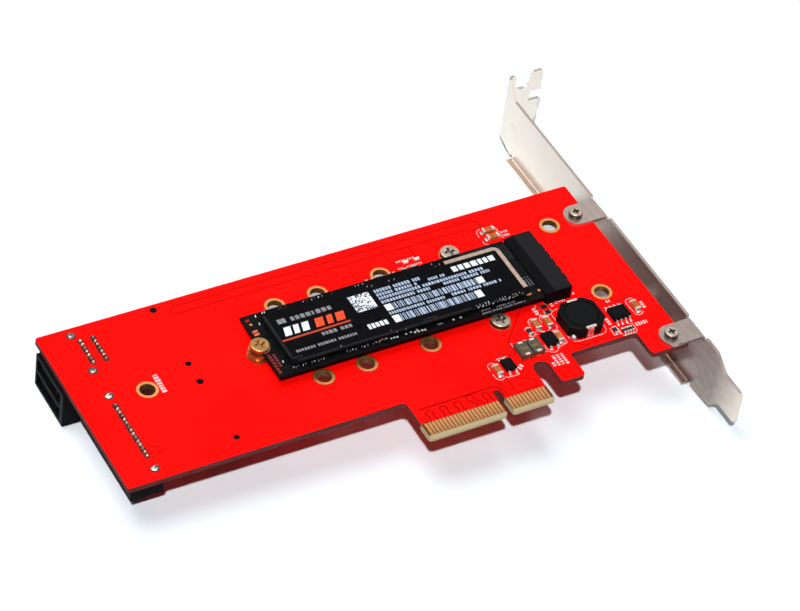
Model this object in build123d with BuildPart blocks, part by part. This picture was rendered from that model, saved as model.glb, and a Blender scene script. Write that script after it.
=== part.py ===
# NVMe adapter card: an x4 plug-in board with a full-height bracket. One drive sits in a socket on the
# solder side. Two more drive sockets, a double data connector and a power connector are on the other side.
# Sizes are in millimetres. The origin is the middle of the key notch, on the line of the finger tips and on
# the face of the solder side. +X runs along the card to the bracket, +Y from the fingers to the back edge,
# and +Z out of the solder side.
from build123d import *
import os

os.makedirs("parts", exist_ok=True)

LOW = (Align.CENTER, Align.CENTER, Align.MIN)
HIGH = (Align.CENTER, Align.CENTER, Align.MAX)

# Circuit board
board_thickness = 1.6
finger_height = 13.05        # finger tips to the front edge of the body
left_margin = 18.0           # last mounting hole of the solder side to the left edge
right_margin = 11.6          # last mounting hole of the component side to the right edge
back_margin = 11.85          # middle line of the back row to the back edge
board_corner = 0.6
plating = 0.04               # gold and copper on the faces of the board

# Edge fingers
contact_pitch = 1.0
contact_width = 0.7
contact_length = 3.85
contact_setback = 1.05       # tip of the board to the tip of a contact
first_contact = 1.5          # key notch to the first contact on each side
long_row_count = 21
short_row_count = 11
finger_margin = 1.1          # last contact to the end of its finger block
key_width = 1.9
key_height = 8.3
bevel_length = 1.0
bevel_depth = 0.45
tip_corner = 0.5
inner_corner = 1.3

# Cut-outs between the fingers and the bracket
relief_width = 4.6
relief_height = 12.9
hook_width = 6.8
hook_tip = 4.5
window_width = 19.6
window_height = 12.4
foot_tip = 4.3
cutout_corner = 1.0

# Places for the drives: one row on the solder side and two on the component side
front_margin = 15.4          # front edge of the body to the middle line of the front row
row_pitch = 26.5             # front row to back row
top_row_shift = 12.25        # front row to the row on the solder side
top_end = 31.2               # end of the drive inside the socket on the solder side
low_end = -67.0              # end of a drive inside the sockets on the component side
drive_length = 80.0          # the drive that is fitted
other_drive_lengths = (30.0, 42.0, 60.0, 110.0)
mount_hole = 4.0
mount_ring = 5.5

# Drive
drive_width = 22.0
drive_board_thickness = 0.8
drive_height = 2.45          # face of the card to the underside of the drive
tongue_shoulders = 2.15      # width of the drive less that of its tongue
tongue_length = 4.9
drive_key_offset = 6.125
drive_key_width = 1.2
drive_key_depth = 3.5
end_notch = 3.5
chip_height = 1.3
chips_left = 5.4             # free end of the drive to its first chip
chips_right = 9.6            # last chip to the socket end of the drive
chip_spacing = 2.0
flash_width = 14.0
cache_size = (8.0, 12.0)
controller_size = (14.0, 14.0)
chip_chamfer = 0.15
label_left = 4.3             # free end of the drive to the label
label_right = 8.2            # socket end of the drive to the label
label_width = 19.3
label_thickness = 0.1
label_corner = 0.8
trim_size = (0.55, 1.0, 0.45)
trim_places = (35.4, 36.9, 41.9, 43.2)   # free end of the drive to the small parts at its back edge
large_trim_size = (1.3, 1.3, 0.6)
large_trim_places = (39.0, 46.3, 49.0)
trim_edge = 0.1              # back edge of the drive to those parts

# Drive sockets
socket_end_walls = 1.85      # both end walls together
socket_height = 4.2
socket_back = 3.1            # end of the drive to the back of the socket
socket_lip = 4.6             # end of the drive to the upper lip at the mouth
socket_jaw = 4.2             # end of the drive to the lower jaw
socket_flat = 1.9            # end of the drive to where the top starts to slope
socket_lip_height = 3.7
slot_clearance = 0.1
socket_foot = 0.2            # room for the contact feet under the housing
socket_rib_count = 5         # low ribs across the back of the housing
socket_rib_pitch = 2.85
socket_rib_width = 2.1
socket_rib_reach = 0.3
socket_rib_foot = 1.4
socket_rib_shift = 1.25      # their middle line is off the housing's, towards the key
spring = 0.15                # thickness of a socket contact
spring_width = 0.25
spring_pitch = 0.5
upper_spring_count = 38      # places over the drive, with those that the key takes
lower_spring_count = 37
spring_pocket = 0.35         # depth of the pocket that the back legs stand in
spring_foot = 1.0
socket_key_width = 1.0
socket_peg_inset = 1.2
socket_peg_room = 1.9        # width of the socket less the spread of its pegs
socket_pegs = (1.8, 1.5)
peg_clearance = 0.05

# Standoffs and their screws
standoff_base = 5.8
standoff_base_height = 0.75
standoff_groove = 4.6
standoff_collar = 5.5
standoff_collar_height = 0.7
standoff_boss_clearance = 0.05
standoff_boss = 1.2
thread = 3.0
thread_clearance = 0.05
drive_screw_head = 4.9
drive_screw_head_height = 1.05
drive_screw_length = 2.4
standoff_screw_head = 5.1
standoff_screw_head_height = 1.2
standoff_screw_length = 1.8
head_rounding = 0.3          # shares of a head's height or width
recess_floor = 0.4
recess_length = 0.56
recess_width = 0.14
recess_mouth = 0.36
point_share = 0.1            # chamfer at the point, as a share of the shank

# Bracket
sheet = 0.86
bracket_length = 120.02
bracket_width = 18.42
bracket_gap = 3.8            # right edge of the board to the inner face of the bracket
bracket_tip = 14.7           # tip of the tongue, in front of the finger tips
bend_outside = 1.2
bend_inside = 0.35
relief_slot = 1.0
relief_depth = 1.7
tongue_top = 3.4             # top edge of the bracket to the top edge of its tongue
tongue_bottom = 4.7          # bottom edge of the bracket to the bottom edge of its tongue
shoulder_start = 12.4        # tip of the tongue to the full width at the top
shoulder_end = 7.7
heel_start = 16.9            # tip of the tongue to the full width at the bottom
heel_middle = 10.6
heel_rise = 0.9
tongue_corner = 1.2
shoulder_corner = 1.5
ear_reach = 10.9             # inner face of the bracket to the end of the ear
ear_top = 4.9                # ear above the top edge of the bracket
ear_bottom = 3.4             # ear above the bottom edge
flare_length = 5.2
flare_corner = 2.0
ear_land = 0.3               # straight stretch between the flare and the bend of the ear
taper_length = 9.5
ear_slot_width = 4.9
ear_slot_middle = 4.85       # inner face of the bracket to the middle of the slot
ear_slot_depth = 5.0
ear_notch_depth = 3.3
ear_notch_width = 3.4
ear_notch_middle = 8.5       # top of the ear to the middle of the side notch
ear_round = 4.5
ear_corner = 0.8
lip_start = 20.4             # tip of the tongue to the lip along the bottom edge
lip_end = 8.22               # end of the lip to the ear
lip_reach = 1.8
tab_reach = 10.5
tab_width = 7.1
tab_round = 3.3
tab_screws = (7.6, 55.3)     # from the finger tips to the two bracket screws
tab_screw_inset = 3.7        # right edge of the board to the screws
bracket_screw_hole = 2.4
bracket_screw_head = 3.6
bracket_screw_head_height = 1.3
bracket_screw_thread = 2.0
nut_size = 4.0
nut_height = 1.6
screw_tail = 0.4

# Data connector: two decks of seven contacts
deck_pitch = 1.27
data_count = 7
data_overhang = 1.0          # face of the connector past the left edge of the board
data_inset = 11.35           # back edge of the board to the middle of the connector
data_height = 10.4
data_wall = 0.85
data_end_walls = 2.4         # both end walls together
data_floor = 0.9             # wall between the two decks
data_cavity_shift = 0.5      # the cavities are off the middle
data_cavity_depth = 7.9
data_back_wall = 1.0
data_depth = 15.5
data_cheek = 1.0
data_pins_shift = 2.3        # so are the pins
data_pin_rows = (9.8, 13.2)  # left edge of the board to the two rows of pins
data_lock_inset = 8.5
data_lock_shift = 2.4
data_lock_room = 3.0         # width of the connector less the spread of its locks
data_tongue_ends = 2.78      # tongue past the first and last contacts together
data_tongue_room = 3.1       # width of the cavity less that of the tongue
data_tongue_shift = 0.65     # the tongue's short leg puts its middle off the contacts' middle

# Power connector: fifteen contacts
power_count = 15
power_inset = 2.0            # left edge of the board to the face of the connector
power_setback = 16.45        # front edge of the body to the middle of the connector
power_height = 6.0
power_wall = 1.0
power_end_walls = 4.6
power_cavity_depth = 4.6
power_back_wall = 1.0
power_depth = 8.6
power_cheek = 3.6
power_pins_shift = 0.3
power_pin_row = 8.6
power_lock_room = 2.4
power_tongue_ends = 2.82
power_tongue_room = 2.8

# What both connectors share
tongue_thickness = 1.2
tongue_leg = 1.1
tongue_leg_height = 1.9
tongue_setback = 0.8         # face of the connector to the tip of its tongue
blade = 0.25
blade_width = 0.7
blade_setback = 0.4
blade_clearance = 0.05
pin_hole = 1.0
pin_tail = 0.6
lock_diameter = 1.7
lock_hole = 1.8
lock_depth = 2.0
lock_tail = 0.35
lock_chamfer = 0.25
ear_block = 3.0

# Power inductor
coil_place = (31.8, 20.8)
coil_size = (10.8, 10.4)
coil_chamfer = 2.3
coil_height = 3.5
coil_rounding = 0.4
coil_opening = 8.9
coil_flange = 8.4
coil_flange_thickness = 0.7
coil_core = 4.6
winding_diameter = 7.9
winding_clearance = 0.05
clip_leg = 1.8               # width of a clip down the side of the shield
clip_jaw = 2.9               # width of its hook on the shield's top
clip_thickness = 0.3
clip_foot = 1.4
clip_hook = 0.65

# Chip parts: length, width, height and the length of one metal end
large_capacitor_size = (4.6, 3.1, 1.6, 0.6)
small_capacitor_size = (3.2, 1.6, 1.0, 0.5)
resistor_size = (2.2, 1.1, 0.5, 0.35)
array_size = (3.2, 1.7, 0.6)
array_end = (0.45, 0.5)
array_pitch = 0.8
end_step = 0.06              # metal end proud of the body
lamp_size = (1.6, 0.8, 0.6, 0.3)

# Places of the chip parts whose length lies along X, and of those that lie along Y
large_capacitors_along_y = ((13.05, 17.1), (16.55, 17.1))
small_capacitors_along_x = ((26.7, 59.0), (26.7, 56.4))
small_capacitors_along_y = ((20.9, 24.1), (24.2, 23.9), (24.1, 18.3), (3.8, 13.8), (48.2, 20.6))
resistors_past_seat = ((13.0, 0.65), (13.0, -1.25))   # from the standoff of the front row
resistors_along_y = ((38.9, 15.0), (18.2, 22.9))
lamp_insets = (12.0, 8.8)    # standoff of the back row to the two lamps
lamp_setback = 1.65          # middle line of the back row to the lamps
array_place = (42.0, 13.9)

# Leaded chips
lead = 0.2
lead_foot = 0.6
regulator_place = (42.7, 19.7)
regulator_body = (4.9, 3.9, 1.35)
regulator_lead_pitch = 1.27
regulator_lead_width = 0.42
regulator_lead_count = 4
switch_places = ((21.4, 18.3), (7.2, 14.3))
switch_bodies = ((3.2, 4.4, 1.1), (2.9, 3.7, 1.1))
switch_lead_spread = 1.9
switch_lead_width = 0.5
chip_gap = 0.1               # face of the card to the underside of a leaded chip

# Worked out from the sizes above
drive_lengths = (*other_drive_lengths, drive_length)
board_front = finger_height
front_row = board_front + front_margin
back_row = front_row + row_pitch
top_row = front_row + top_row_shift
board_left = top_end - max(drive_lengths) - left_margin
board_right = low_end + max(drive_lengths) + right_margin
board_back = back_row + back_margin
underside = -board_thickness
finger_left = -(first_contact + (long_row_count - 1) * contact_pitch + finger_margin)
finger_right = first_contact + (short_row_count - 1) * contact_pitch + finger_margin
relief_right = finger_right + relief_width
hook_right = relief_right + hook_width
window_right = hook_right + window_width

top_mounts = [(top_end - length, top_row) for length in drive_lengths]
low_mounts = [(low_end + length, row) for row in (front_row, back_row) for length in drive_lengths]
drive_free_end = top_end - drive_length
low_seats = [(low_end + drive_length, row) for row in (front_row, back_row)]

top_socket_plane = Plane(origin=(top_end, top_row, 0), x_dir=(-1, 0, 0), z_dir=(0, 0, 1))
low_socket_planes = [
    Plane(origin=(low_end, row, underside), x_dir=(1, 0, 0), z_dir=(0, 0, -1))
    for row in (front_row, back_row)
]
drive_top = drive_height + drive_board_thickness
tongue_width = drive_width - tongue_shoulders
slot_width = tongue_width + 2 * slot_clearance
socket_width = slot_width + socket_end_walls
socket_peg_spread = socket_width - socket_peg_room
flash_length = (drive_length - chips_left - chips_right - cache_size[0] - controller_size[0]
                - 3 * chip_spacing) / 2
lamp_places = [(low_seats[1][0] - inset, back_row + lamp_setback) for inset in lamp_insets]
resistors_along_x = [(low_seats[0][0] + x, front_row + y) for x, y in resistors_past_seat]

bracket_inner = board_right + bracket_gap
bracket_outer = bracket_inner + sheet
bracket_near = -bracket_tip
bracket_far = bracket_near + bracket_length
bracket_top = sheet
bracket_bottom = bracket_top - bracket_width
tab_screw_x = board_right - tab_screw_inset
bracket_screw_places = [(tab_screw_x, y) for y in tab_screws]

data_face = board_left - data_overhang
data_middle = board_back - data_inset
data_cavity_middle = data_middle + data_cavity_shift
data_pins_middle = data_middle + data_pins_shift
data_lock_middle = data_middle + data_lock_shift
data_tongue = (data_count - 1) * deck_pitch + data_tongue_ends
data_cavity = data_tongue + data_tongue_room
data_width = data_cavity + data_end_walls
data_lock_spread = data_width - data_lock_room
data_rows_x = [board_left + inset for inset in data_pin_rows]
data_pins_y = [data_pins_middle + (i - (data_count - 1) / 2) * deck_pitch for i in range(data_count)]
data_pins = [(x, y) for x in data_rows_x for y in data_pins_y]
data_locks = [
    (board_left + data_lock_inset, data_lock_middle + side * data_lock_spread / 2) for side in (-1, 1)
]
deck_height = (data_height - 2 * data_wall - data_floor) / 2
deck_middles = [underside - data_wall - deck_height / 2 - i * (deck_height + data_floor) for i in range(2)]
power_face = board_left + power_inset
power_middle = board_front + power_setback
power_pins_middle = power_middle + power_pins_shift
power_tongue = (power_count - 1) * deck_pitch + power_tongue_ends
power_cavity = power_tongue + power_tongue_room
power_width = power_cavity + power_end_walls
power_lock_spread = power_width - power_lock_room
power_row_x = board_left + power_pin_row
power_pins_y = [power_pins_middle + (i - (power_count - 1) / 2) * deck_pitch for i in range(power_count)]
power_pins = [(power_row_x, y) for y in power_pins_y]
power_locks = [(power_row_x, power_middle + side * power_lock_spread / 2) for side in (-1, 1)]


def corner(sketch, x, y):
    """The vertex of a sketch that is nearest to a point."""
    return sketch.vertices().sort_by_distance((x, y))[0]


def near_edge(builder, axis, place):
    """The edge along an axis whose middle is nearest to a point."""
    return builder.edges().filter_by(axis).sort_by(lambda edge: (edge.center() - Vector(*place)).length)[0]


def socket_pegs_on(plane):
    """The two locating pegs of a drive socket: place on the board and diameter."""
    places = []
    for side, diameter in zip((-1, 1), socket_pegs):
        place = plane.from_local_coords((socket_peg_inset, side * socket_peg_spread / 2, 0))
        places.append((place.X, place.Y, diameter))
    return places


# Circuit board: outline, finger bevels, and every hole that a piece passes through
with BuildPart() as circuit_board:
    with BuildSketch() as board_outline:
        with BuildLine():
            Polyline(
                (board_left, board_front), (finger_left, board_front), (finger_left, 0), (finger_right, 0),
                (finger_right, hook_tip), (hook_right, hook_tip), (hook_right, window_height),
                (window_right, window_height), (window_right, foot_tip), (board_right, foot_tip),
                (board_right, board_back), (board_left, board_back), close=True,
            )
        make_face()
        slots = ((0, 0, key_width, key_height), (finger_right + relief_width / 2, hook_tip, relief_width,
                                                 relief_height))
        for x, mouth, width, end in slots:
            with Locations((x, mouth)):
                Rectangle(width, end - width / 2 - mouth, align=(Align.CENTER, Align.MIN),
                          mode=Mode.SUBTRACT)
            with Locations((x, end - width / 2)):
                Circle(width / 2, mode=Mode.SUBTRACT)
        for x, y in ((hook_right, window_height), (window_right, window_height), (relief_right, hook_tip),
                     (hook_right, hook_tip), (window_right, foot_tip)):
            fillet(corner(board_outline, x, y), cutout_corner)
        fillet(corner(board_outline, finger_left, board_front), inner_corner)
        for x, y in ((board_left, board_front), (board_left, board_back), (board_right, board_back),
                     (board_right, foot_tip)):
            fillet(corner(board_outline, x, y), board_corner)
        for x in (finger_left, -key_width / 2, key_width / 2, finger_right):
            chamfer(corner(board_outline, x, 0), tip_corner)
    extrude(amount=-board_thickness)
    with BuildSketch(Plane.YZ.offset(finger_left)):
        Polygon((0, 0), (bevel_length, 0), (0, -bevel_depth), align=None)
        Polygon((0, underside), (bevel_length, underside), (0, underside + bevel_depth), align=None)
    extrude(amount=finger_right - finger_left, mode=Mode.SUBTRACT)
    with Locations(*top_mounts, *low_mounts):
        Hole(mount_hole / 2)
    with Locations(*bracket_screw_places):
        Hole(bracket_screw_hole / 2)
    for plane in (top_socket_plane, *low_socket_planes):
        for x, y, diameter in socket_pegs_on(plane):
            with Locations((x, y)):
                Hole(diameter / 2 + peg_clearance)
    with Locations(*data_pins, *power_pins):
        Hole(pin_hole / 2)
    with Locations(*data_locks, *power_locks):
        Hole(lock_hole / 2)
circuit_board.part.label = "circuit_board"
export_step(circuit_board.part, "parts/circuit_board.step")

# Edge contacts on both faces of the fingers
contact_middle = contact_setback + contact_length / 2
contact_places = [(-(first_contact + i * contact_pitch), contact_middle) for i in range(long_row_count)]
contact_places += [(first_contact + i * contact_pitch, contact_middle) for i in range(short_row_count)]
with BuildPart() as edge_contacts:
    for level in (0, underside - plating):
        with BuildSketch(Plane.XY.offset(level)):
            with Locations(*contact_places):
                Rectangle(contact_width, contact_length)
        extrude(amount=plating)
edge_contacts.part.label = "edge_contacts"
export_step(edge_contacts.part, "parts/edge_contacts.step")

# Plated rings round the mounting holes on both faces
with BuildPart() as hole_rings:
    for level in (0, underside - plating):
        with BuildSketch(Plane.XY.offset(level)):
            with Locations(*top_mounts, *low_mounts):
                Circle(mount_ring / 2)
                Circle(mount_hole / 2, mode=Mode.SUBTRACT)
        extrude(amount=plating)
hole_rings.part.label = "hole_rings"
export_step(hole_rings.part, "parts/hole_rings.step")


def pan_head_screw(head, head_height, shank, length):
    """A cross-recess screw: its head stands on z = 0 and its shank hangs below."""
    floor = head_height * recess_floor
    with BuildPart() as screw:
        Cylinder(head / 2, head_height, align=LOW)
        fillet(screw.edges().group_by(Axis.Z)[-1], head_height * head_rounding)
        Cylinder(shank / 2, length, align=HIGH)
        chamfer(screw.edges().group_by(Axis.Z)[0], shank * point_share)
        with Locations((0, 0, floor)):
            Box(head * recess_length, head * recess_width, head_height, align=LOW, mode=Mode.SUBTRACT)
            Box(head * recess_width, head * recess_length, head_height, align=LOW, mode=Mode.SUBTRACT)
            Cone(head * recess_width / 2, head * recess_mouth / 2, head_height - floor, align=LOW,
                 mode=Mode.SUBTRACT)
    return screw.part


# Bracket: one folded sheet with a tongue, two tabs on the board, a lip and a slotted ear
tongue_z = (bracket_top - tongue_top, bracket_bottom + tongue_bottom)
ear_z = (bracket_top + ear_top, bracket_bottom + ear_bottom)
flare_y = bracket_far - flare_length
taper_y = bracket_far - taper_length
ear_root_y = bracket_far - bend_outside - ear_land
lip_near = bracket_near + lip_start
lip_far = bracket_far - lip_end
lip_length = lip_far - lip_near
with BuildPart() as bracket:
    with BuildSketch(Plane.YZ.offset(bracket_inner)) as plate_outline:
        with BuildLine():
            Polyline(
                (bracket_near, tongue_z[0]), (bracket_near + shoulder_end, tongue_z[0]),
                (bracket_near + shoulder_start, bracket_top), (flare_y, bracket_top),
                (ear_root_y, ear_z[0]),
                (bracket_far, ear_z[0]), (bracket_far, ear_z[1]), (ear_root_y, ear_z[1]),
                (taper_y, bracket_bottom), (bracket_near + heel_start, bracket_bottom),
                (bracket_near + heel_middle, bracket_bottom + heel_rise),
                (bracket_near + shoulder_end, tongue_z[1]), (bracket_near, tongue_z[1]), close=True,
            )
        make_face()
        for z in tongue_z:
            fillet(corner(plate_outline, bracket_near, z), tongue_corner)
            fillet(corner(plate_outline, bracket_near + shoulder_end, z), shoulder_corner)
        fillet(corner(plate_outline, bracket_near + shoulder_start, bracket_top), shoulder_corner)
        fillet(corner(plate_outline, flare_y, bracket_top), flare_corner)
        fillet(corner(plate_outline, taper_y, bracket_bottom), flare_corner)
    extrude(amount=sheet)
    with BuildSketch(Plane.XZ.offset(-bracket_far)) as ear_outline:
        ear_mid = (bracket_inner + ear_reach / 2, (ear_z[0] + ear_z[1]) / 2)
        with Locations(ear_mid):
            Rectangle(ear_reach, ear_z[0] - ear_z[1])
        slot_x = bracket_inner + ear_slot_middle
        slot_bottom = ear_z[0] - ear_slot_depth + ear_slot_width / 2
        with Locations((slot_x, slot_bottom)):
            Circle(ear_slot_width / 2, mode=Mode.SUBTRACT)
            Rectangle(ear_slot_width, ear_slot_depth, align=(Align.CENTER, Align.MIN), mode=Mode.SUBTRACT)
        with Locations((bracket_inner + ear_reach - ear_notch_depth / 2, ear_z[0] - ear_notch_middle)):
            Rectangle(ear_notch_depth, ear_notch_width, mode=Mode.SUBTRACT)
        fillet(corner(ear_outline, bracket_inner + ear_reach, ear_z[1]), ear_round)
        fillet(corner(ear_outline, bracket_inner + ear_reach, ear_z[0]), ear_corner)
        fillet(corner(ear_outline, slot_x + ear_slot_width / 2, ear_z[0]), ear_corner)
        fillet(corner(ear_outline, slot_x - ear_slot_width / 2, ear_z[0]), ear_corner)
    extrude(amount=sheet)
    for y in tab_screws:
        with Locations((bracket_outer, y, bracket_top)):
            Box(sheet + tab_reach, tab_width, sheet, align=(Align.MAX, Align.CENTER, Align.MAX))
        for side in (-1, 1):
            slot_y = y + side * (tab_width + relief_slot) / 2
            with Locations((bracket_inner + sheet / 2, slot_y, bracket_top)):
                Box(2 * sheet, relief_slot, relief_depth, align=HIGH, mode=Mode.SUBTRACT)
    with Locations((bracket_outer, lip_near, bracket_bottom)):
        Box(sheet + lip_reach, lip_length, sheet, align=(Align.MAX, Align.MIN, Align.MIN))
    for y, side in ((lip_near, -1), (lip_far, 1)):
        with Locations((bracket_inner + sheet / 2, y + side * relief_slot / 2, bracket_bottom)):
            Box(2 * sheet, relief_slot, relief_depth, align=LOW, mode=Mode.SUBTRACT)
    fillet(near_edge(bracket, Axis.Z, (bracket_inner, bracket_far, 0)), bend_outside)
    fillet(near_edge(bracket, Axis.Z, (bracket_outer, bracket_far - sheet, 0)), bend_inside)
    for y in tab_screws:
        fillet(near_edge(bracket, Axis.Y, (bracket_outer, y, bracket_top)), bend_outside)
        fillet(near_edge(bracket, Axis.Y, (bracket_inner, y, bracket_top - sheet)), bend_inside)
        for side in (-1, 1):
            tab_corner = (bracket_inner - tab_reach, y + side * tab_width / 2, bracket_top)
            fillet(near_edge(bracket, Axis.Z, tab_corner), tab_round)
    lip_middle = lip_near + lip_length / 2
    fillet(near_edge(bracket, Axis.Y, (bracket_outer, lip_middle, bracket_bottom)), bend_outside)
    fillet(near_edge(bracket, Axis.Y, (bracket_inner, lip_middle, bracket_bottom + sheet)), bend_inside)
    with Locations(*[(x, y, bracket_top) for x, y in bracket_screw_places]):
        Cylinder(bracket_screw_hole / 2, sheet, align=HIGH, mode=Mode.SUBTRACT)
bracket.part.label = "bracket"
export_step(bracket.part, "parts/bracket.step")


# Screws and nuts that hold the bracket's tabs on the board
with BuildPart() as bracket_screws:
    with Locations(*[(x, y, bracket_top) for x, y in bracket_screw_places]):
        add(pan_head_screw(bracket_screw_head, bracket_screw_head_height, bracket_screw_thread,
                           sheet + board_thickness + nut_height + screw_tail))
bracket_screws.part.label = "bracket_screws"
export_step(bracket_screws.part, "parts/bracket_screws.step")

with BuildPart() as bracket_nuts:
    with BuildSketch(Plane.XY.offset(underside)):
        with Locations(*bracket_screw_places):
            RegularPolygon(nut_size / 2, 6, major_radius=False)
            Circle((bracket_screw_thread + thread_clearance) / 2, mode=Mode.SUBTRACT)
    extrude(amount=-nut_height)
bracket_nuts.part.label = "bracket_nuts"
export_step(bracket_nuts.part, "parts/bracket_nuts.step")

# Drive board: tongue and key at the socket end, half-round notch at the free end
with BuildPart() as drive_board:
    with BuildSketch(Plane.XY.offset(drive_height)):
        with Locations((drive_free_end, top_row)):
            Rectangle(drive_length, drive_width, align=(Align.MIN, Align.CENTER))
            Circle(end_notch / 2, mode=Mode.SUBTRACT)
        for side in (-1, 1):
            with Locations((top_end, top_row + side * drive_width / 2)):
                Rectangle(2 * tongue_length, drive_width - tongue_width, mode=Mode.SUBTRACT)
        with Locations((top_end, top_row - drive_key_offset)):
            Rectangle(2 * drive_key_depth - drive_key_width, drive_key_width, mode=Mode.SUBTRACT)
        with Locations((top_end - drive_key_depth + drive_key_width / 2, top_row - drive_key_offset)):
            Circle(drive_key_width / 2, mode=Mode.SUBTRACT)
    extrude(amount=drive_board_thickness)
drive_board.part.label = "drive_board"
export_step(drive_board.part, "parts/drive_board.step")


def moulded_chip(size, x, y, low, height):
    """A flat moulded chip with a slight chamfer round its top."""
    with BuildPart(Plane.XY.offset(low)) as chip:
        with Locations((x, y)):
            Box(size[0], size[1], height, align=LOW)
        chamfer(chip.faces().sort_by(Axis.Z)[-1].edges(), chip_chamfer)
    return chip.part


# Chips of the drive: two memory chips, a cache chip and the controller
flash_left = drive_free_end + chips_left + flash_length / 2
flash_places = [flash_left, flash_left + flash_length + chip_spacing]
controller_place = top_end - chips_right - controller_size[0] / 2
cache_place = controller_place - (controller_size[0] + cache_size[0]) / 2 - chip_spacing
with BuildPart() as drive_flash_chips:
    for place in flash_places:
        add(moulded_chip((flash_length, flash_width), place, top_row, drive_top, chip_height))
drive_flash_chips.part.label = "drive_flash_chips"
export_step(drive_flash_chips.part, "parts/drive_flash_chips.step")

with BuildPart() as drive_cache_chip:
    add(moulded_chip(cache_size, cache_place, top_row, drive_top, chip_height))
drive_cache_chip.part.label = "drive_cache_chip"
export_step(drive_cache_chip.part, "parts/drive_cache_chip.step")

with BuildPart() as drive_controller:
    add(moulded_chip(controller_size, controller_place, top_row, drive_top, chip_height))
drive_controller.part.label = "drive_controller"
export_step(drive_controller.part, "parts/drive_controller.step")

# Label over the chips of the drive
with BuildPart() as drive_label:
    with BuildSketch(Plane.XY.offset(drive_top + chip_height)):
        with Locations((drive_free_end + label_left, top_row)):
            RectangleRounded(drive_length - label_left - label_right, label_width, label_corner,
                             align=(Align.MIN, Align.CENTER))
    extrude(amount=label_thickness)
drive_label.part.label = "drive_label"
export_step(drive_label.part, "parts/drive_label.step")

# Small chip parts between the label and the back edge of the drive
trim_back = top_row + drive_width / 2 - trim_edge
with BuildPart() as drive_small_parts:
    for size, places in ((trim_size, trim_places), (large_trim_size, large_trim_places)):
        with Locations(*[(drive_free_end + place, trim_back, drive_top) for place in places]):
            Box(*size, align=(Align.CENTER, Align.MAX, Align.MIN))
drive_small_parts.part.label = "drive_small_parts"
export_step(drive_small_parts.part, "parts/drive_small_parts.step")

# Drive sockets: slot between two jaws, key rib, pocket for the back legs, locating pegs underneath
slot_top = drive_top + spring
slot_bottom = drive_height - spring
pocket_back = socket_back - spring_pocket


def socket_housing(key_side):
    """Housing in its own frame: end of the drive at the origin, mouth towards +X, board under z = 0."""
    with BuildPart() as housing:
        with BuildSketch(Plane.XZ.offset(-socket_width / 2)):
            with BuildLine():
                Polyline(
                    (-socket_back, 0), (-socket_back, socket_height), (socket_flat, socket_height),
                    (socket_lip, socket_lip_height), (socket_lip, slot_top), (-slot_clearance, slot_top),
                    (-slot_clearance, slot_bottom), (socket_jaw, slot_bottom), (socket_jaw, 0), close=True,
                )
            make_face()
        extrude(amount=socket_width)
        with Locations((-socket_back, key_side * socket_rib_shift, socket_rib_foot)):
            with GridLocations(0, socket_rib_pitch, 1, socket_rib_count):
                Box(socket_rib_reach, socket_rib_width, socket_height - socket_rib_foot,
                    align=(Align.MAX, Align.CENTER, Align.MIN))
        for side in (-1, 1):
            with Locations((socket_jaw / 2, side * (socket_width + slot_width) / 4, slot_bottom)):
                Box(socket_jaw + 2 * slot_clearance, socket_end_walls / 2, slot_top - slot_bottom,
                    align=LOW)
        with Locations((0, key_side * drive_key_offset, slot_bottom)):
            Box(2 * (drive_key_depth - drive_key_width), socket_key_width, slot_top - slot_bottom,
                align=LOW)
        with Locations((-pocket_back, 0, 0)):
            Box(spring + slot_clearance, slot_width, slot_top, align=(Align.MIN, Align.CENTER, Align.MIN),
                mode=Mode.SUBTRACT)
        with Locations((-pocket_back, 0, drive_top)):
            Box(pocket_back, slot_width, spring, align=(Align.MIN, Align.CENTER, Align.MIN),
                mode=Mode.SUBTRACT)
        with Locations((-socket_back, 0, 0)):
            Box(socket_back + socket_jaw, slot_width, socket_foot,
                align=(Align.MIN, Align.CENTER, Align.MIN), mode=Mode.SUBTRACT)
        for side, diameter in zip((-1, 1), socket_pegs):
            with Locations((socket_peg_inset, side * socket_peg_spread / 2, socket_foot)):
                Cylinder(diameter / 2, board_thickness + socket_foot, align=HIGH)
    return housing.part


def spring_row(count, key_side):
    """Places of one row of contacts across the socket, without those that the key takes."""
    middle = (count - 1) / 2
    keep_out = (drive_key_width + spring_pitch + spring_width) / 2
    offsets = [(place - middle) * spring_pitch for place in range(count)]
    return [(0, y, 0) for y in offsets if abs(y - key_side * drive_key_offset) > keep_out]


def socket_springs(key_side):
    """Contacts of one socket: the upper row's legs stand at the back, the lower row's at the mouth."""
    with BuildPart() as upper:
        with BuildSketch(Plane.XZ):
            Polygon(
                (socket_jaw, drive_top), (socket_jaw, slot_top), (-pocket_back, slot_top),
                (-pocket_back, spring), (-pocket_back - spring_foot, spring),
                (-pocket_back - spring_foot, 0), (-pocket_back + spring, 0),
                (-pocket_back + spring, drive_top), align=None,
            )
        extrude(amount=spring_width / 2, both=True)
    with BuildPart() as lower:
        with BuildSketch(Plane.XZ):
            Polygon(
                (0, drive_height), (socket_jaw + spring, drive_height), (socket_jaw + spring, 0),
                (socket_jaw, 0), (socket_jaw, slot_bottom), (0, slot_bottom), align=None,
            )
        extrude(amount=spring_width / 2, both=True)
    with BuildPart() as springs:
        with Locations(*spring_row(upper_spring_count, key_side)):
            add(upper.part)
        with Locations(*spring_row(lower_spring_count, key_side)):
            add(lower.part)
    return springs.part


with BuildPart() as drive_socket_housing:
    with Locations(top_socket_plane.location):
        add(socket_housing(1))
drive_socket_housing.part.label = "drive_socket_housing"
export_step(drive_socket_housing.part, "parts/drive_socket_housing.step")

with BuildPart() as drive_socket_contacts:
    with Locations(top_socket_plane.location):
        add(socket_springs(1))
drive_socket_contacts.part.label = "drive_socket_contacts"
export_step(drive_socket_contacts.part, "parts/drive_socket_contacts.step")

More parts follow.
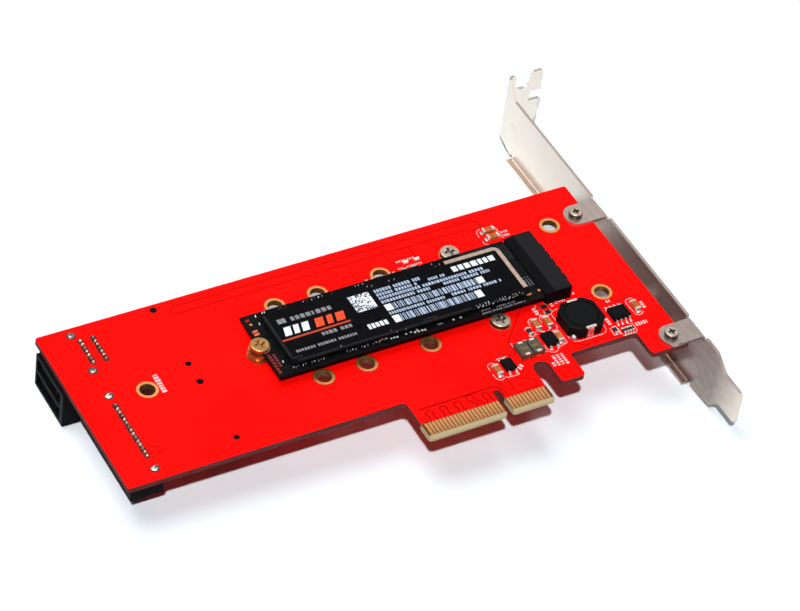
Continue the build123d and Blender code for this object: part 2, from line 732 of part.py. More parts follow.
with BuildPart() as low_socket_housings:
    with Locations(*[plane.location for plane in low_socket_planes]):
        add(socket_housing(-1))
low_socket_housings.part.label = "low_socket_housings"
export_step(low_socket_housings.part, "parts/low_socket_housings.step")

with BuildPart() as low_socket_contacts:
    with Locations(*[plane.location for plane in low_socket_planes]):
        add(socket_springs(-1))
low_socket_contacts.part.label = "low_socket_contacts"
export_step(low_socket_contacts.part, "parts/low_socket_contacts.step")


def standoff():
    """A turned standoff: boss below z = 0, base, groove, and the collar that the drive rests on."""
    bore = thread / 2 + thread_clearance
    boss = mount_hole / 2 - standoff_boss_clearance
    height = drive_height - plating
    groove_top = height - standoff_collar_height
    with BuildPart() as post:
        with BuildSketch(Plane.XZ):
            Polygon(
                (bore, -standoff_boss), (boss, -standoff_boss), (boss, 0), (standoff_base / 2, 0),
                (standoff_base / 2, standoff_base_height), (standoff_groove / 2, standoff_base_height),
                (standoff_groove / 2, groove_top), (standoff_collar / 2, groove_top),
                (standoff_collar / 2, height), (bore, height), align=None,
            )
        revolve(axis=Axis.Z)
    return post.part


# Standoff of the fitted drive, its own screw, and the screw that holds it from the other side
top_seat = Plane(origin=(drive_free_end, top_row, plating))
with BuildPart() as drive_standoff:
    with Locations(top_seat.location):
        add(standoff())
drive_standoff.part.label = "drive_standoff"
export_step(drive_standoff.part, "parts/drive_standoff.step")

with BuildPart() as drive_screw:
    with Locations((drive_free_end, top_row, drive_top)):
        add(pan_head_screw(drive_screw_head, drive_screw_head_height, thread, drive_screw_length))
drive_screw.part.label = "drive_screw"
export_step(drive_screw.part, "parts/drive_screw.step")

# Standoffs for drives on the component side, and the screws that hold all three standoffs
with BuildPart() as low_standoffs:
    with Locations(*[Plane(origin=(x, y, underside - plating), x_dir=(1, 0, 0), z_dir=(0, 0, -1)).location
                     for x, y in low_seats]):
        add(standoff())
low_standoffs.part.label = "low_standoffs"
export_step(low_standoffs.part, "parts/low_standoffs.step")

below = Plane(origin=(drive_free_end, top_row, underside - plating), x_dir=(1, 0, 0), z_dir=(0, 0, -1))
with BuildPart() as standoff_screws:
    with Locations(below.location, *[Location((x, y, plating)) for x, y in low_seats]):
        add(pan_head_screw(standoff_screw_head, standoff_screw_head_height, thread, standoff_screw_length))
standoff_screws.part.label = "standoff_screws"
export_step(standoff_screws.part, "parts/standoff_screws.step")


def bent_blade(tip_x, row_x, seat_z):
    """Outline of a contact: it lies on its tongue at seat_z and turns up through the board at row_x."""
    half = blade / 2
    return Polygon(
        (tip_x, seat_z), (row_x - half, seat_z), (row_x - half, pin_tail), (row_x + half, pin_tail),
        (row_x + half, seat_z - blade), (tip_x, seat_z - blade), align=None,
    )


# Data connector: two decks with a legged tongue in each, cheeks behind them, and an ear for the back lock
data_back = data_face + data_cavity_depth + data_back_wall
data_tongue_middle = data_pins_middle - data_tongue_shift
with BuildPart() as data_connector_housing:
    with Locations((data_face, data_middle, underside)):
        Box(data_cavity_depth + data_back_wall, data_width, data_height,
            align=(Align.MIN, Align.CENTER, Align.MAX))
    for side in (-1, 1):
        with Locations((data_face, data_middle + side * (data_width - data_cheek) / 2, underside)):
            Box(data_depth, data_cheek, data_height, align=(Align.MIN, Align.CENTER, Align.MAX))
    for middle in deck_middles:
        with Locations((data_face, data_cavity_middle, middle)):
            Box(data_cavity_depth, data_cavity, deck_height, align=(Align.MIN, Align.CENTER, Align.CENTER),
                mode=Mode.SUBTRACT)
        with Locations((data_back, data_tongue_middle, middle)):
            Box(data_back - data_face - tongue_setback, data_tongue, tongue_thickness,
                align=(Align.MAX, Align.CENTER, Align.CENTER))
        with Locations((data_back, data_tongue_middle - data_tongue / 2, middle - tongue_thickness / 2)):
            Box(data_back - data_face - tongue_setback, tongue_leg, tongue_leg_height - tongue_thickness,
                align=(Align.MAX, Align.MIN, Align.MAX))
        with Locations(*[(data_back, y, middle + tongue_thickness / 2) for y in data_pins_y]):
            Box(2 * data_back_wall, blade_width + 2 * blade_clearance, blade + blade_clearance,
                align=(Align.CENTER, Align.CENTER, Align.MIN), mode=Mode.SUBTRACT)
    for x, y in data_locks:
        with Locations((x, y, underside)):
            Box(ear_block, ear_block, ear_block, align=HIGH)
        with Locations((x, y, underside)):
            Cylinder(lock_diameter / 2, lock_depth, align=HIGH, mode=Mode.SUBTRACT)
data_connector_housing.part.label = "data_connector_housing"
export_step(data_connector_housing.part, "parts/data_connector_housing.step")

data_tip_x = data_face + tongue_setback + blade_setback
with BuildPart() as data_connector_contacts:
    for y in data_pins_y:
        for row_x, middle in zip(data_rows_x, deck_middles):
            with BuildSketch(Plane.XZ.offset(-y)):
                bent_blade(data_tip_x, row_x, middle + tongue_thickness / 2 + blade)
            extrude(amount=blade_width / 2, both=True)
data_connector_contacts.part.label = "data_connector_contacts"
export_step(data_connector_contacts.part, "parts/data_connector_contacts.step")

# Power connector: one wide deck, with a lock in each of its thick cheeks
power_back = power_face + power_cavity_depth + power_back_wall
power_deck = underside - power_height / 2
with BuildPart() as power_connector_housing:
    with Locations((power_face, power_middle, underside)):
        Box(power_cavity_depth + power_back_wall, power_width, power_height,
            align=(Align.MIN, Align.CENTER, Align.MAX))
    for side in (-1, 1):
        with Locations((power_face, power_middle + side * (power_width - power_cheek) / 2, underside)):
            Box(power_depth, power_cheek, power_height, align=(Align.MIN, Align.CENTER, Align.MAX))
    with Locations((power_face, power_middle, power_deck)):
        Box(power_cavity_depth, power_cavity, power_height - 2 * power_wall,
            align=(Align.MIN, Align.CENTER, Align.CENTER), mode=Mode.SUBTRACT)
    with Locations((power_back, power_pins_middle, power_deck)):
        Box(power_back - power_face - tongue_setback, power_tongue, tongue_thickness,
            align=(Align.MAX, Align.CENTER, Align.CENTER))
    with Locations((power_back, power_pins_middle - power_tongue / 2, power_deck - tongue_thickness / 2)):
        Box(power_back - power_face - tongue_setback, tongue_leg, tongue_leg_height - tongue_thickness,
            align=(Align.MAX, Align.MIN, Align.MAX))
    with Locations(*[(power_back, y, power_deck + tongue_thickness / 2) for y in power_pins_y]):
        Box(2 * power_back_wall, blade_width + 2 * blade_clearance, blade + blade_clearance,
            align=(Align.CENTER, Align.CENTER, Align.MIN), mode=Mode.SUBTRACT)
    with Locations(*[(x, y, underside) for x, y in power_locks]):
        Cylinder(lock_diameter / 2, lock_depth, align=HIGH, mode=Mode.SUBTRACT)
power_connector_housing.part.label = "power_connector_housing"
export_step(power_connector_housing.part, "parts/power_connector_housing.step")

with BuildPart() as power_connector_contacts:
    for y in power_pins_y:
        with BuildSketch(Plane.XZ.offset(-y)):
            bent_blade(power_face + tongue_setback + blade_setback, power_row_x,
                       power_deck + tongue_thickness / 2 + blade)
        extrude(amount=blade_width / 2, both=True)
power_connector_contacts.part.label = "power_connector_contacts"
export_step(power_connector_contacts.part, "parts/power_connector_contacts.step")

# Metal locks that hold both connectors in the board
with BuildPart() as connector_locks:
    with Locations(*[(x, y, underside - lock_depth) for x, y in (*data_locks, *power_locks)]):
        Cylinder(lock_diameter / 2, lock_depth + board_thickness + lock_tail, align=LOW)
    chamfer(connector_locks.edges().group_by(Axis.Z)[-1], lock_chamfer)
connector_locks.part.label = "connector_locks"
export_step(connector_locks.part, "parts/connector_locks.step")

# Power inductor: a bobbin with its winding inside an eight-sided shield, on two clips
coil_x, coil_y = coil_place
core_low = clip_thickness
with BuildPart() as inductor_shield:
    with BuildSketch(Plane.XY.offset(core_low)) as shield_outline:
        with Locations(coil_place):
            Rectangle(*coil_size)
            chamfer(shield_outline.vertices(), coil_chamfer)
    extrude(amount=coil_height - core_low)
    fillet(inductor_shield.faces().sort_by(Axis.Z)[-1].edges(), coil_rounding)
    with Locations((coil_x, coil_y, core_low)):
        Cylinder(coil_opening / 2, coil_height, align=LOW, mode=Mode.SUBTRACT)
    for side in (-1, 1):
        with Locations((coil_x, coil_y + side * coil_size[1] / 2, core_low)):
            Box(clip_leg, 2 * clip_thickness, coil_height, align=LOW, mode=Mode.SUBTRACT)
        with Locations((coil_x, coil_y + side * coil_size[1] / 2, coil_height)):
            Box(clip_jaw, 2 * clip_hook, 2 * clip_thickness, mode=Mode.SUBTRACT)
inductor_shield.part.label = "inductor_shield"
export_step(inductor_shield.part, "parts/inductor_shield.step")

with BuildPart() as inductor_core:
    with BuildSketch(Plane.XZ.offset(-coil_y)):
        Polygon(
            (coil_x, core_low), (coil_x + coil_flange / 2, core_low),
            (coil_x + coil_flange / 2, core_low + coil_flange_thickness),
            (coil_x + coil_core / 2, core_low + coil_flange_thickness),
            (coil_x + coil_core / 2, coil_height - coil_flange_thickness),
            (coil_x + coil_flange / 2, coil_height - coil_flange_thickness),
            (coil_x + coil_flange / 2, coil_height), (coil_x, coil_height), align=None,
        )
    revolve(axis=Axis((coil_x, coil_y, 0), (0, 0, 1)))
inductor_core.part.label = "inductor_core"
export_step(inductor_core.part, "parts/inductor_core.step")

with BuildPart() as inductor_winding:
    with BuildSketch(Plane.XY.offset(core_low + coil_flange_thickness)):
        with Locations(coil_place):
            Circle(winding_diameter / 2)
            Circle(coil_core / 2 + winding_clearance, mode=Mode.SUBTRACT)
    extrude(amount=coil_height - core_low - 2 * coil_flange_thickness)
inductor_winding.part.label = "inductor_winding"
export_step(inductor_winding.part, "parts/inductor_winding.step")

with BuildPart() as inductor_clips:
    with BuildSketch(Plane.YZ.offset(coil_x)):
        for side in (-1, 1):
            outer = coil_y + side * coil_size[1] / 2
            inner = outer - side * clip_thickness
            Polygon(
                (outer - side * clip_foot, 0), (outer, 0), (outer, coil_height), (inner, coil_height),
                (inner, clip_thickness), (outer - side * clip_foot, clip_thickness), align=None,
            )
    extrude(amount=clip_leg / 2, both=True)
    for side in (-1, 1):
        with Locations((coil_x, coil_y + side * (coil_size[1] - clip_hook) / 2, coil_height)):
            Box(clip_jaw, clip_hook, clip_thickness, align=HIGH)
inductor_clips.part.label = "inductor_clips"
export_step(inductor_clips.part, "parts/inductor_clips.step")


def chip_body(size):
    """Body of a chip part between its two metal ends."""
    length, width, height, end = size
    with BuildPart() as body:
        with Locations((0, 0, end_step)):
            Box(length - 2 * end, width - 2 * end_step, height - 2 * end_step, align=LOW)
    return body.part


def chip_ends(size):
    """The two metal ends of a chip part."""
    length, width, height, end = size
    with BuildPart() as ends:
        with GridLocations(length - end, 0, 2, 1):
            Box(end, width, height, align=LOW)
    return ends.part


def on_card(along_x, along_y):
    """Locations on the card's face of parts that lie along X and of parts that lie along Y."""
    flat = [Location((x, y, 0)) for x, y in along_x]
    return flat + [Location((x, y, 0), (0, 0, 90)) for x, y in along_y]


large_capacitor_seats = on_card((), large_capacitors_along_y)
small_capacitor_seats = on_card(small_capacitors_along_x, small_capacitors_along_y)
resistor_seats = on_card(resistors_along_x, resistors_along_y)
lamp_seats = on_card(lamp_places, ())

with BuildPart() as large_capacitors:
    with Locations(*large_capacitor_seats):
        add(chip_body(large_capacitor_size))
large_capacitors.part.label = "large_capacitors"
export_step(large_capacitors.part, "parts/large_capacitors.step")

with BuildPart() as large_capacitor_ends:
    with Locations(*large_capacitor_seats):
        add(chip_ends(large_capacitor_size))
large_capacitor_ends.part.label = "large_capacitor_ends"
export_step(large_capacitor_ends.part, "parts/large_capacitor_ends.step")

with BuildPart() as small_capacitors:
    with Locations(*small_capacitor_seats):
        add(chip_body(small_capacitor_size))
small_capacitors.part.label = "small_capacitors"
export_step(small_capacitors.part, "parts/small_capacitors.step")

with BuildPart() as small_capacitor_ends:
    with Locations(*small_capacitor_seats):
        add(chip_ends(small_capacitor_size))
small_capacitor_ends.part.label = "small_capacitor_ends"
export_step(small_capacitor_ends.part, "parts/small_capacitor_ends.step")

with BuildPart() as resistors:
    with Locations(*resistor_seats):
        add(chip_body(resistor_size))
resistors.part.label = "resistors"
export_step(resistors.part, "parts/resistors.step")

with BuildPart() as resistor_ends:
    with Locations(*resistor_seats):
        add(chip_ends(resistor_size))
resistor_ends.part.label = "resistor_ends"
export_step(resistor_ends.part, "parts/resistor_ends.step")

with BuildPart() as status_lamps:
    with Locations(*lamp_seats):
        add(chip_body(lamp_size))
status_lamps.part.label = "status_lamps"
export_step(status_lamps.part, "parts/status_lamps.step")

with BuildPart() as status_lamp_ends:
    with Locations(*lamp_seats):
        add(chip_ends(lamp_size))
status_lamp_ends.part.label = "status_lamp_ends"
export_step(status_lamp_ends.part, "parts/status_lamp_ends.step")

# Resistor array: one body with four metal ends along each side
with BuildPart() as resistor_array:
    with Locations((*array_place, end_step)):
        Box(array_size[0], array_size[1] - 2 * array_end[0], array_size[2] - end_step, align=LOW)
resistor_array.part.label = "resistor_array"
export_step(resistor_array.part, "parts/resistor_array.step")

with BuildPart() as resistor_array_ends:
    with Locations(array_place):
        with GridLocations(array_pitch, array_size[1] - array_end[0], 4, 2):
            Box(array_end[1], array_end[0], array_size[2], align=LOW)
resistor_array_ends.part.label = "resistor_array_ends"
export_step(resistor_array_ends.part, "parts/resistor_array_ends.step")


def lead_outline(root, body_height):
    """Outline of a bent lead: out of the body at mid height, down, and flat on the card."""
    shoulder = root + 2 * lead
    level = chip_gap + body_height / 2
    return Polygon(
        (root, level), (shoulder + lead, level), (shoulder + lead, lead),
        (shoulder + lead + lead_foot, lead), (shoulder + lead + lead_foot, 0), (shoulder, 0),
        (shoulder, level - lead), (root, level - lead), align=None,
    )


def leads_along(offsets, root, body_height, width, side):
    """Leads on one side of a chip, at the given offsets along its face."""
    with BuildPart() as leads:
        for offset_x in offsets:
            with BuildSketch(Plane.YZ.offset(offset_x - width / 2)):
                lead_outline(root, body_height)
            extrude(amount=width)
        if side < 0:
            mirror(about=Plane.XZ, mode=Mode.REPLACE)
    return leads.part


# Voltage regulator with four leads along each long side
regulator_span = (regulator_lead_count - 1) * regulator_lead_pitch
regulator_offsets = [i * regulator_lead_pitch - regulator_span / 2 for i in range(regulator_lead_count)]
with BuildPart() as regulator:
    add(moulded_chip(regulator_body[:2], *regulator_place, chip_gap, regulator_body[2]))
regulator.part.label = "regulator"
export_step(regulator.part, "parts/regulator.step")

with BuildPart() as regulator_leads:
    with Locations(regulator_place):
        for side in (-1, 1):
            add(leads_along(regulator_offsets, regulator_body[1] / 2, regulator_body[2],
                            regulator_lead_width, side))
regulator_leads.part.label = "regulator_leads"
export_step(regulator_leads.part, "parts/regulator_leads.step")

# Two three-lead power switches: one lead at the back and two at the front
with BuildPart() as power_switches:
    for place, body in zip(switch_places, switch_bodies):
        add(moulded_chip(body[:2], *place, chip_gap, body[2]))
power_switches.part.label = "power_switches"
export_step(power_switches.part, "parts/power_switches.step")

with BuildPart() as power_switch_leads:
    for place, body in zip(switch_places, switch_bodies):
        with Locations(place):
            add(leads_along([0], body[1] / 2, body[2], switch_lead_width, 1))
            add(leads_along([-switch_lead_spread / 2, switch_lead_spread / 2], body[1] / 2, body[2],
                            switch_lead_width, -1))
power_switch_leads.part.label = "power_switch_leads"
export_step(power_switch_leads.part, "parts/power_switch_leads.step")
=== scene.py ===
import math
import random

import bpy
from mathutils import Matrix, Vector


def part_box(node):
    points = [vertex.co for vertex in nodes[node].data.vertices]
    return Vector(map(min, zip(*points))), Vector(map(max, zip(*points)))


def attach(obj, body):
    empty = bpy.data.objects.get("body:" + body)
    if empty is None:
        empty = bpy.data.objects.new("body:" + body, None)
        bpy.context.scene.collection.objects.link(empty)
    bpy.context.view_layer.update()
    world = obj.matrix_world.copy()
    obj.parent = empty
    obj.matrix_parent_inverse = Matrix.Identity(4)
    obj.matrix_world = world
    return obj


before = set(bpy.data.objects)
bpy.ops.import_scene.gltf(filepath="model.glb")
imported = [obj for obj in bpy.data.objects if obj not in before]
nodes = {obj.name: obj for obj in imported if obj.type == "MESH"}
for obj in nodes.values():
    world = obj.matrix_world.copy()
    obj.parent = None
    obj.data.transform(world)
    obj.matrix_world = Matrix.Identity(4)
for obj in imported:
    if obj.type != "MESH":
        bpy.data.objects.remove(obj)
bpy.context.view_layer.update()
MM = 0.001
dice = random.Random(7)


# Sizes read from the frame, in millimetres
def span(node):
    """Lowest and highest corner of a CAD node in millimetres."""
    low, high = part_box(node)
    return low / MM, high / MM


board_low, board_high = span("circuit_board")
FACE = board_high.z
UNDER = board_low.z
contact_low, contact_high = span("edge_contacts")
bracket_low, bracket_high = span("bracket")
data_low = span("data_connector_housing")[0]
nuts_high = span("bracket_nuts")[1]
LABEL = span("drive_label")[1].z
DRIVE = span("drive_board")[1].z


# Materials
def srgb(red, green, blue):
    """Linear colour of an sRGB colour given from 0 to 255."""
    parts = []
    for value in (red, green, blue):
        value /= 255
        parts.append(value / 12.92 if value <= 0.04045 else ((value + 0.055) / 1.055) ** 2.4)
    return (*parts, 1.0)


# Noise lies mostly between these two values
NOISE_LOW = 0.3
NOISE_HIGH = 0.7


class Material:
    """A node material with short ways to add noise, masks, mixes and bump."""

    def __init__(self, name, **constants):
        self.material = bpy.data.materials.new(name)
        self.material.use_nodes = True
        self.tree = self.material.node_tree
        self.shader = self.tree.nodes["Principled BSDF"]
        for socket, value in constants.items():
            self.shader.inputs[socket.replace("_", " ")].default_value = value
        self.place = self.node("ShaderNodeTexCoord").outputs["Object"]

    def node(self, kind, **settings):
        """Adds a node and sets its own values."""
        made = self.tree.nodes.new(kind)
        for key, value in settings.items():
            setattr(made, key, value)
        return made

    def put(self, socket, value):
        """Sets a socket to a value, or links it to an output."""
        if isinstance(value, bpy.types.NodeSocket):
            self.tree.links.new(value, socket)
        else:
            socket.default_value = value

    def noise(self, scale, detail=3.0, stretch=(1, 1, 1)):
        """Soft noise from 0 to 1, which may be stretched along the axes."""
        mapping = self.node("ShaderNodeMapping")
        mapping.inputs["Scale"].default_value = stretch
        self.put(mapping.inputs["Vector"], self.place)
        texture = self.node("ShaderNodeTexNoise")
        texture.inputs["Scale"].default_value = scale
        texture.inputs["Detail"].default_value = detail
        self.put(texture.inputs["Vector"], mapping.outputs["Vector"])
        return texture.outputs["Fac"]

    def axis(self, name, source=None):
        """One coordinate of the object's place, or of another vector."""
        split = self.node("ShaderNodeSeparateXYZ")
        self.put(split.inputs[0], source or self.place)
        return split.outputs[name]

    def normal_axis(self, name):
        """One coordinate of the direction that the surface faces."""
        return self.axis(name, self.node("ShaderNodeNewGeometry").outputs["Normal"])

    def math(self, operation, first, second=0.0):
        """A sum, product, comparison or the like of two values."""
        step = self.node("ShaderNodeMath", operation=operation)
        self.put(step.inputs[0], first)
        self.put(step.inputs[1], second)
        return step.outputs[0]

    def above(self, axis, limit):
        """1 where a coordinate is over a limit in millimetres, and 0 elsewhere."""
        return self.math("GREATER_THAN", self.axis(axis), limit * MM)

    def below(self, axis, limit):
        """1 where a coordinate is under a limit in millimetres, and 0 elsewhere."""
        return self.math("LESS_THAN", self.axis(axis), limit * MM)

    def both(self, first, second):
        """1 where two masks are both 1."""
        return self.math("MULTIPLY", first, second)

    def range(self, value, low, high, to_low=0.0, to_high=1.0):
        """Spreads the values from low to high over another range, and stops at its ends."""
        ramp = self.node("ShaderNodeMapRange")
        self.put(ramp.inputs["Value"], value)
        ramp.inputs["From Min"].default_value = low
        ramp.inputs["From Max"].default_value = high
        ramp.inputs["To Min"].default_value = to_low
        ramp.inputs["To Max"].default_value = to_high
        return ramp.outputs["Result"]

    def mix(self, factor, first, second):
        """A colour that goes from the first to the second with a factor from 0 to 1."""
        blend = self.node("ShaderNodeMix", data_type="RGBA")
        self.put(blend.inputs["Factor"], factor)
        self.put(blend.inputs["A"], first)
        self.put(blend.inputs["B"], second)
        return blend.outputs["Result"]

    def blend(self, grain, dark, light):
        """A colour that wanders between two others with a noise."""
        return self.mix(self.range(grain, NOISE_LOW, NOISE_HIGH), dark, light)

    def colour(self, value):
        """Sets the colour of the surface."""
        self.put(self.shader.inputs["Base Color"], value)

    def roughness(self, value):
        """Sets the roughness of the surface."""
        self.put(self.shader.inputs["Roughness"], value)

    def gloss(self, grain, low, high):
        """Lets the roughness wander between two values with a noise."""
        self.roughness(self.range(grain, NOISE_LOW, NOISE_HIGH, low, high))

    def bump(self, height, strength, distance=0.00005):
        """Gives the surface a fine relief."""
        made = self.node("ShaderNodeBump")
        made.inputs["Strength"].default_value = strength
        made.inputs["Distance"].default_value = distance
        self.put(made.inputs["Height"], height)
        self.put(self.shader.inputs["Normal"], made.outputs["Normal"])


# How much more slowly the gloss wanders than the colour
GLOSS_SCALE = 0.4


def speckled(name, dark, light, scale, rough, bump=0.15, stretch=(1, 1, 1), **constants):
    """A material whose tone and gloss wander a little between two values, with a fine grain."""
    made = Material(name, **constants)
    grain = made.noise(scale, 4.0, stretch)
    made.colour(made.blend(grain, dark, light))
    made.gloss(made.noise(scale * GLOSS_SCALE), *rough)
    made.bump(grain, bump)
    return made.material


def matt(name, dark, light, scale, rough, specular, bump=0.15):
    """Plastic, glaze, ceramic or mask, with its own strength of reflections."""
    return speckled(name, dark, light, scale, rough, bump, Specular_IOR_Level=specular)


def ink(name, dark, light, scale=2200, rough=(0.45, 0.6)):
    """A printed colour, with faint reflections."""
    return matt(name, dark, light, scale, rough, 0.1)


# The board: how far bare laminate reaches past the contacts, and how level a flat face is
SIDE_MARGIN = 1.2
TOP_MARGIN = 0.2
TIP_MARGIN = 0.05
FLAT_FACE = 0.95


def solder_mask():
    """Red solder mask on the faces and bare laminate at the fingers, with painted shade: the cut edges away
    from the fingers are a dark maroon and the underside's mask a darker red.
    """
    made = Material("solder_mask", Specular_IOR_Level=0.07)
    cloud = made.noise(40, 5.0)
    weave = made.noise(1600, 2.0)
    red = made.blend(cloud, srgb(250, 6, 3), srgb(255, 14, 9))
    red = made.mix(made.range(weave, 0.35, 0.75, 0.0, 0.35), red, srgb(238, 4, 2))
    gap = made.blend(weave, srgb(92, 50, 26), srgb(116, 68, 36))
    khaki = made.blend(weave, srgb(158, 142, 92), srgb(180, 162, 112))
    past_tips = made.below("Y", contact_low.y - TIP_MARGIN)
    laminate = made.mix(past_tips, gap, khaki)
    inside_left = made.above("X", contact_low.x - SIDE_MARGIN)
    inside_right = made.below("X", contact_high.x + SIDE_MARGIN)
    in_front = made.below("Y", contact_high.y + TOP_MARGIN)
    fingers = made.both(made.both(inside_left, inside_right), in_front)
    faces = made.mix(fingers, red, laminate)
    # Painted shade: the cut edges away from the fingers are a dark maroon, darker than the laminate's khaki
    # that the edges keep at the fingers
    layers = made.noise(900, 4.0, (0.15, 0.15, 4.0))
    edge = made.blend(layers, srgb(74, 27, 27), srgb(106, 54, 54))
    edge = made.mix(fingers, edge, srgb(172, 156, 122))
    is_face = made.math("GREATER_THAN", made.math("ABSOLUTE", made.normal_axis("Z")), FLAT_FACE)
    # Painted shade: the underside's mask, away from the fingers, is a darker red
    turned_down = made.math("LESS_THAN", made.normal_axis("Z"), -FLAT_FACE)
    shaded_underside = made.both(turned_down, made.math("SUBTRACT", 1.0, fingers))
    faces = made.mix(shaded_underside, faces, srgb(214, 6, 4))
    made.colour(made.mix(is_face, edge, faces))
    made.roughness(made.range(is_face, 0, 1, 0.7, 0.38))
    made.bump(made.noise(500, 3.0), 0.1)
    return made.material


# The bracket: its tip, the height under which its lip lies, how level a tab is, and how much of the painted
# shade the flat faces take
TIP_LENGTH = 11
LIP_TOP = -5
TAB_LEVEL = 0.9
FLAT_SHADE = 0.8


def satin_sheet():
    """Nickel-plated sheet steel, satin, with painted light and shade: pale and warm at the back, greyer in
    front, lighter at the tip, darker flat tabs and a warm painted reflection of the red board on the lip.
    """
    made = Material("bracket_steel", Metallic=0.85)
    cloud = made.noise(55, 4.0)
    grain = made.noise(700, 5.0, (1, 0.4, 1))
    # Painted light and shade: the tone runs from grey at the front to pale and warm at the back, and is
    # lighter again near the tip
    along = made.range(made.axis("Y"), 0.0, bracket_high.y * MM)
    near_tip = made.range(made.axis("Y"), bracket_low.y * MM, (bracket_low.y + TIP_LENGTH) * MM)
    tone = made.mix(along, srgb(138, 124, 118), srgb(238, 227, 215))
    tone = made.mix(near_tip, srgb(222, 210, 198), tone)
    tone = made.mix(made.range(cloud, 0.35, 0.75, 0.0, 0.2), tone, srgb(190, 178, 168))
    # Painted shade on the flat faces, with a warm painted reflection of the red board on the lip
    flat = made.math("GREATER_THAN", made.normal_axis("Z"), TAB_LEVEL)
    lip = made.below("Z", LIP_TOP)
    flat_shade_and_lip_reflection = made.mix(lip, srgb(158, 142, 135), srgb(166, 142, 127))
    tone = made.mix(made.math("MULTIPLY", flat, FLAT_SHADE), tone, flat_shade_and_lip_reflection)
    made.colour(made.mix(made.range(grain, 0.35, 0.7, 0.0, 0.2), tone, srgb(214, 205, 196)))
    made.gloss(cloud, 0.22, 0.32)
    made.bump(grain, 0.05)
    return made.material


# Screws: how level a face in painted shade and a face in painted light are
SCREW_STEEP = 0.35
SCREW_LEVEL = 0.9


def screw_steel():
    """Nickel-plated steel, with painted shade in a screw's recess and round the side of its head."""
    made = Material("screw_steel", Metallic=0.95)
    grain = made.noise(900, 4.0)
    head = made.blend(grain, srgb(158, 144, 130), srgb(194, 180, 166))
    # Painted shade on steep faces and painted light on level ones
    level = made.range(made.math("ABSOLUTE", made.normal_axis("Z")), SCREW_STEEP, SCREW_LEVEL)
    made.colour(made.mix(level, srgb(76, 66, 58), head))
    made.gloss(made.noise(360), 0.3, 0.44)
    made.bump(grain, 0.05)
    return made.material


# The drive's socket: how level its top with painted light is, and the height that the top is above
STRAIGHT_UP = 0.999
SOCKET_STEP = 1


def socket_black():
    """Moulded black plastic, with painted light that makes it a little lighter and greyer where it faces
    straight up.
    """
    made = Material("socket_plastic", Specular_IOR_Level=0.025)
    grain = made.noise(2200, 3.0)
    base = made.blend(grain, srgb(6, 6, 8), srgb(14, 14, 16))
    # Painted light on the top faces
    facing_up = made.math("GREATER_THAN", made.normal_axis("Z"), STRAIGHT_UP)
    top = made.both(facing_up, made.above("Z", SOCKET_STEP))
    made.colour(made.mix(top, base, srgb(32, 31, 34)))
    made.gloss(grain, 0.42, 0.58)
    made.bump(grain, 0.15)
    return made.material


WIRE_SCALE = 700


def winding_wire():
    """Round wire wound side by side, with painted light and shade across each turn."""
    made = Material("winding_copper", Metallic=1.0)
    rings = made.node("ShaderNodeTexWave", bands_direction="Z")
    rings.inputs["Scale"].default_value = WIRE_SCALE
    made.put(rings.inputs["Vector"], made.place)
    # Painted light on each turn and painted shade in the grooves between turns
    made.colour(made.mix(rings.outputs["Fac"], srgb(120, 58, 30), srgb(200, 118, 66)))
    made.gloss(made.noise(900), 0.3, 0.45)
    made.bump(rings.outputs["Fac"], 0.6)
    return made.material


def contact_gold():
    """Gold plating with a painted highlight that makes it brighter where it meets the mask and duller
    towards the tips, and with small rubs.
    """
    made = Material("contact_gold", Metallic=0.85)
    grain = made.noise(1500, 4.0)
    rubs = made.noise(500, 3.0, (3, 0.6, 1))
    # Painted highlight, brighter towards the mask
    painted_highlight = made.range(made.axis("Y"), contact_low.y * MM, contact_high.y * MM)
    tone = made.mix(painted_highlight, srgb(156, 112, 70), srgb(204, 142, 90))
    tone = made.mix(made.range(grain, NOISE_LOW, NOISE_HIGH, 0.0, 0.4), tone, srgb(212, 154, 100))
    made.colour(made.mix(made.range(rubs, 0.55, 0.75, 0.0, 0.5), tone, srgb(142, 100, 60)))
    made.gloss(grain, 0.36, 0.48)
    made.bump(grain, 0.15)
    return made.material


# Large capacitors: half width of the bare tin and its wander, and the glazed band
BARE_HALF = 0.82
BARE_WANDER = 0.3
BAND_MIDDLE = 0.75
BAND_HALF = 0.45


def capacitor_end():
    """Ends of the large capacitors: bare tin in a half circle at the middle, dark glaze on both sides."""
    made = Material("capacitor_end", Specular_IOR_Level=0.25)
    grain = made.noise(1500, 3.0)
    cap_low, cap_high = span("large_capacitor_ends")
    half = (cap_high.x - cap_low.x) / 2
    across = made.math("MODULO", made.math("SUBTRACT", made.axis("X"), cap_low.x * MM), half * MM)
    off = made.math("ABSOLUTE", made.math("SUBTRACT", across, half / 2 * MM))
    wander = made.math("MULTIPLY", grain, BARE_WANDER * MM)
    bare = made.math("LESS_THAN", made.math("ADD", off, wander), BARE_HALF * MM)
    from_band = made.math("ABSOLUTE", made.math("SUBTRACT", made.axis("Z"), BAND_MIDDLE * MM))
    bare = made.both(bare, made.math("GREATER_THAN", from_band, BAND_HALF * MM))
    made.colour(made.mix(bare, srgb(72, 66, 56), srgb(214, 210, 202)))
    made.put(made.shader.inputs["Metallic"], bare)
    made.gloss(grain, 0.25, 0.45)
    made.bump(grain, 0.2)
    return made.material


# The drive's small parts: where their tin ends lie from the back, and how far the brown ones reach
TRIM_FRONT = 0.8
TRIM_BACK = 0.26
BROWN_REACH = 3.0


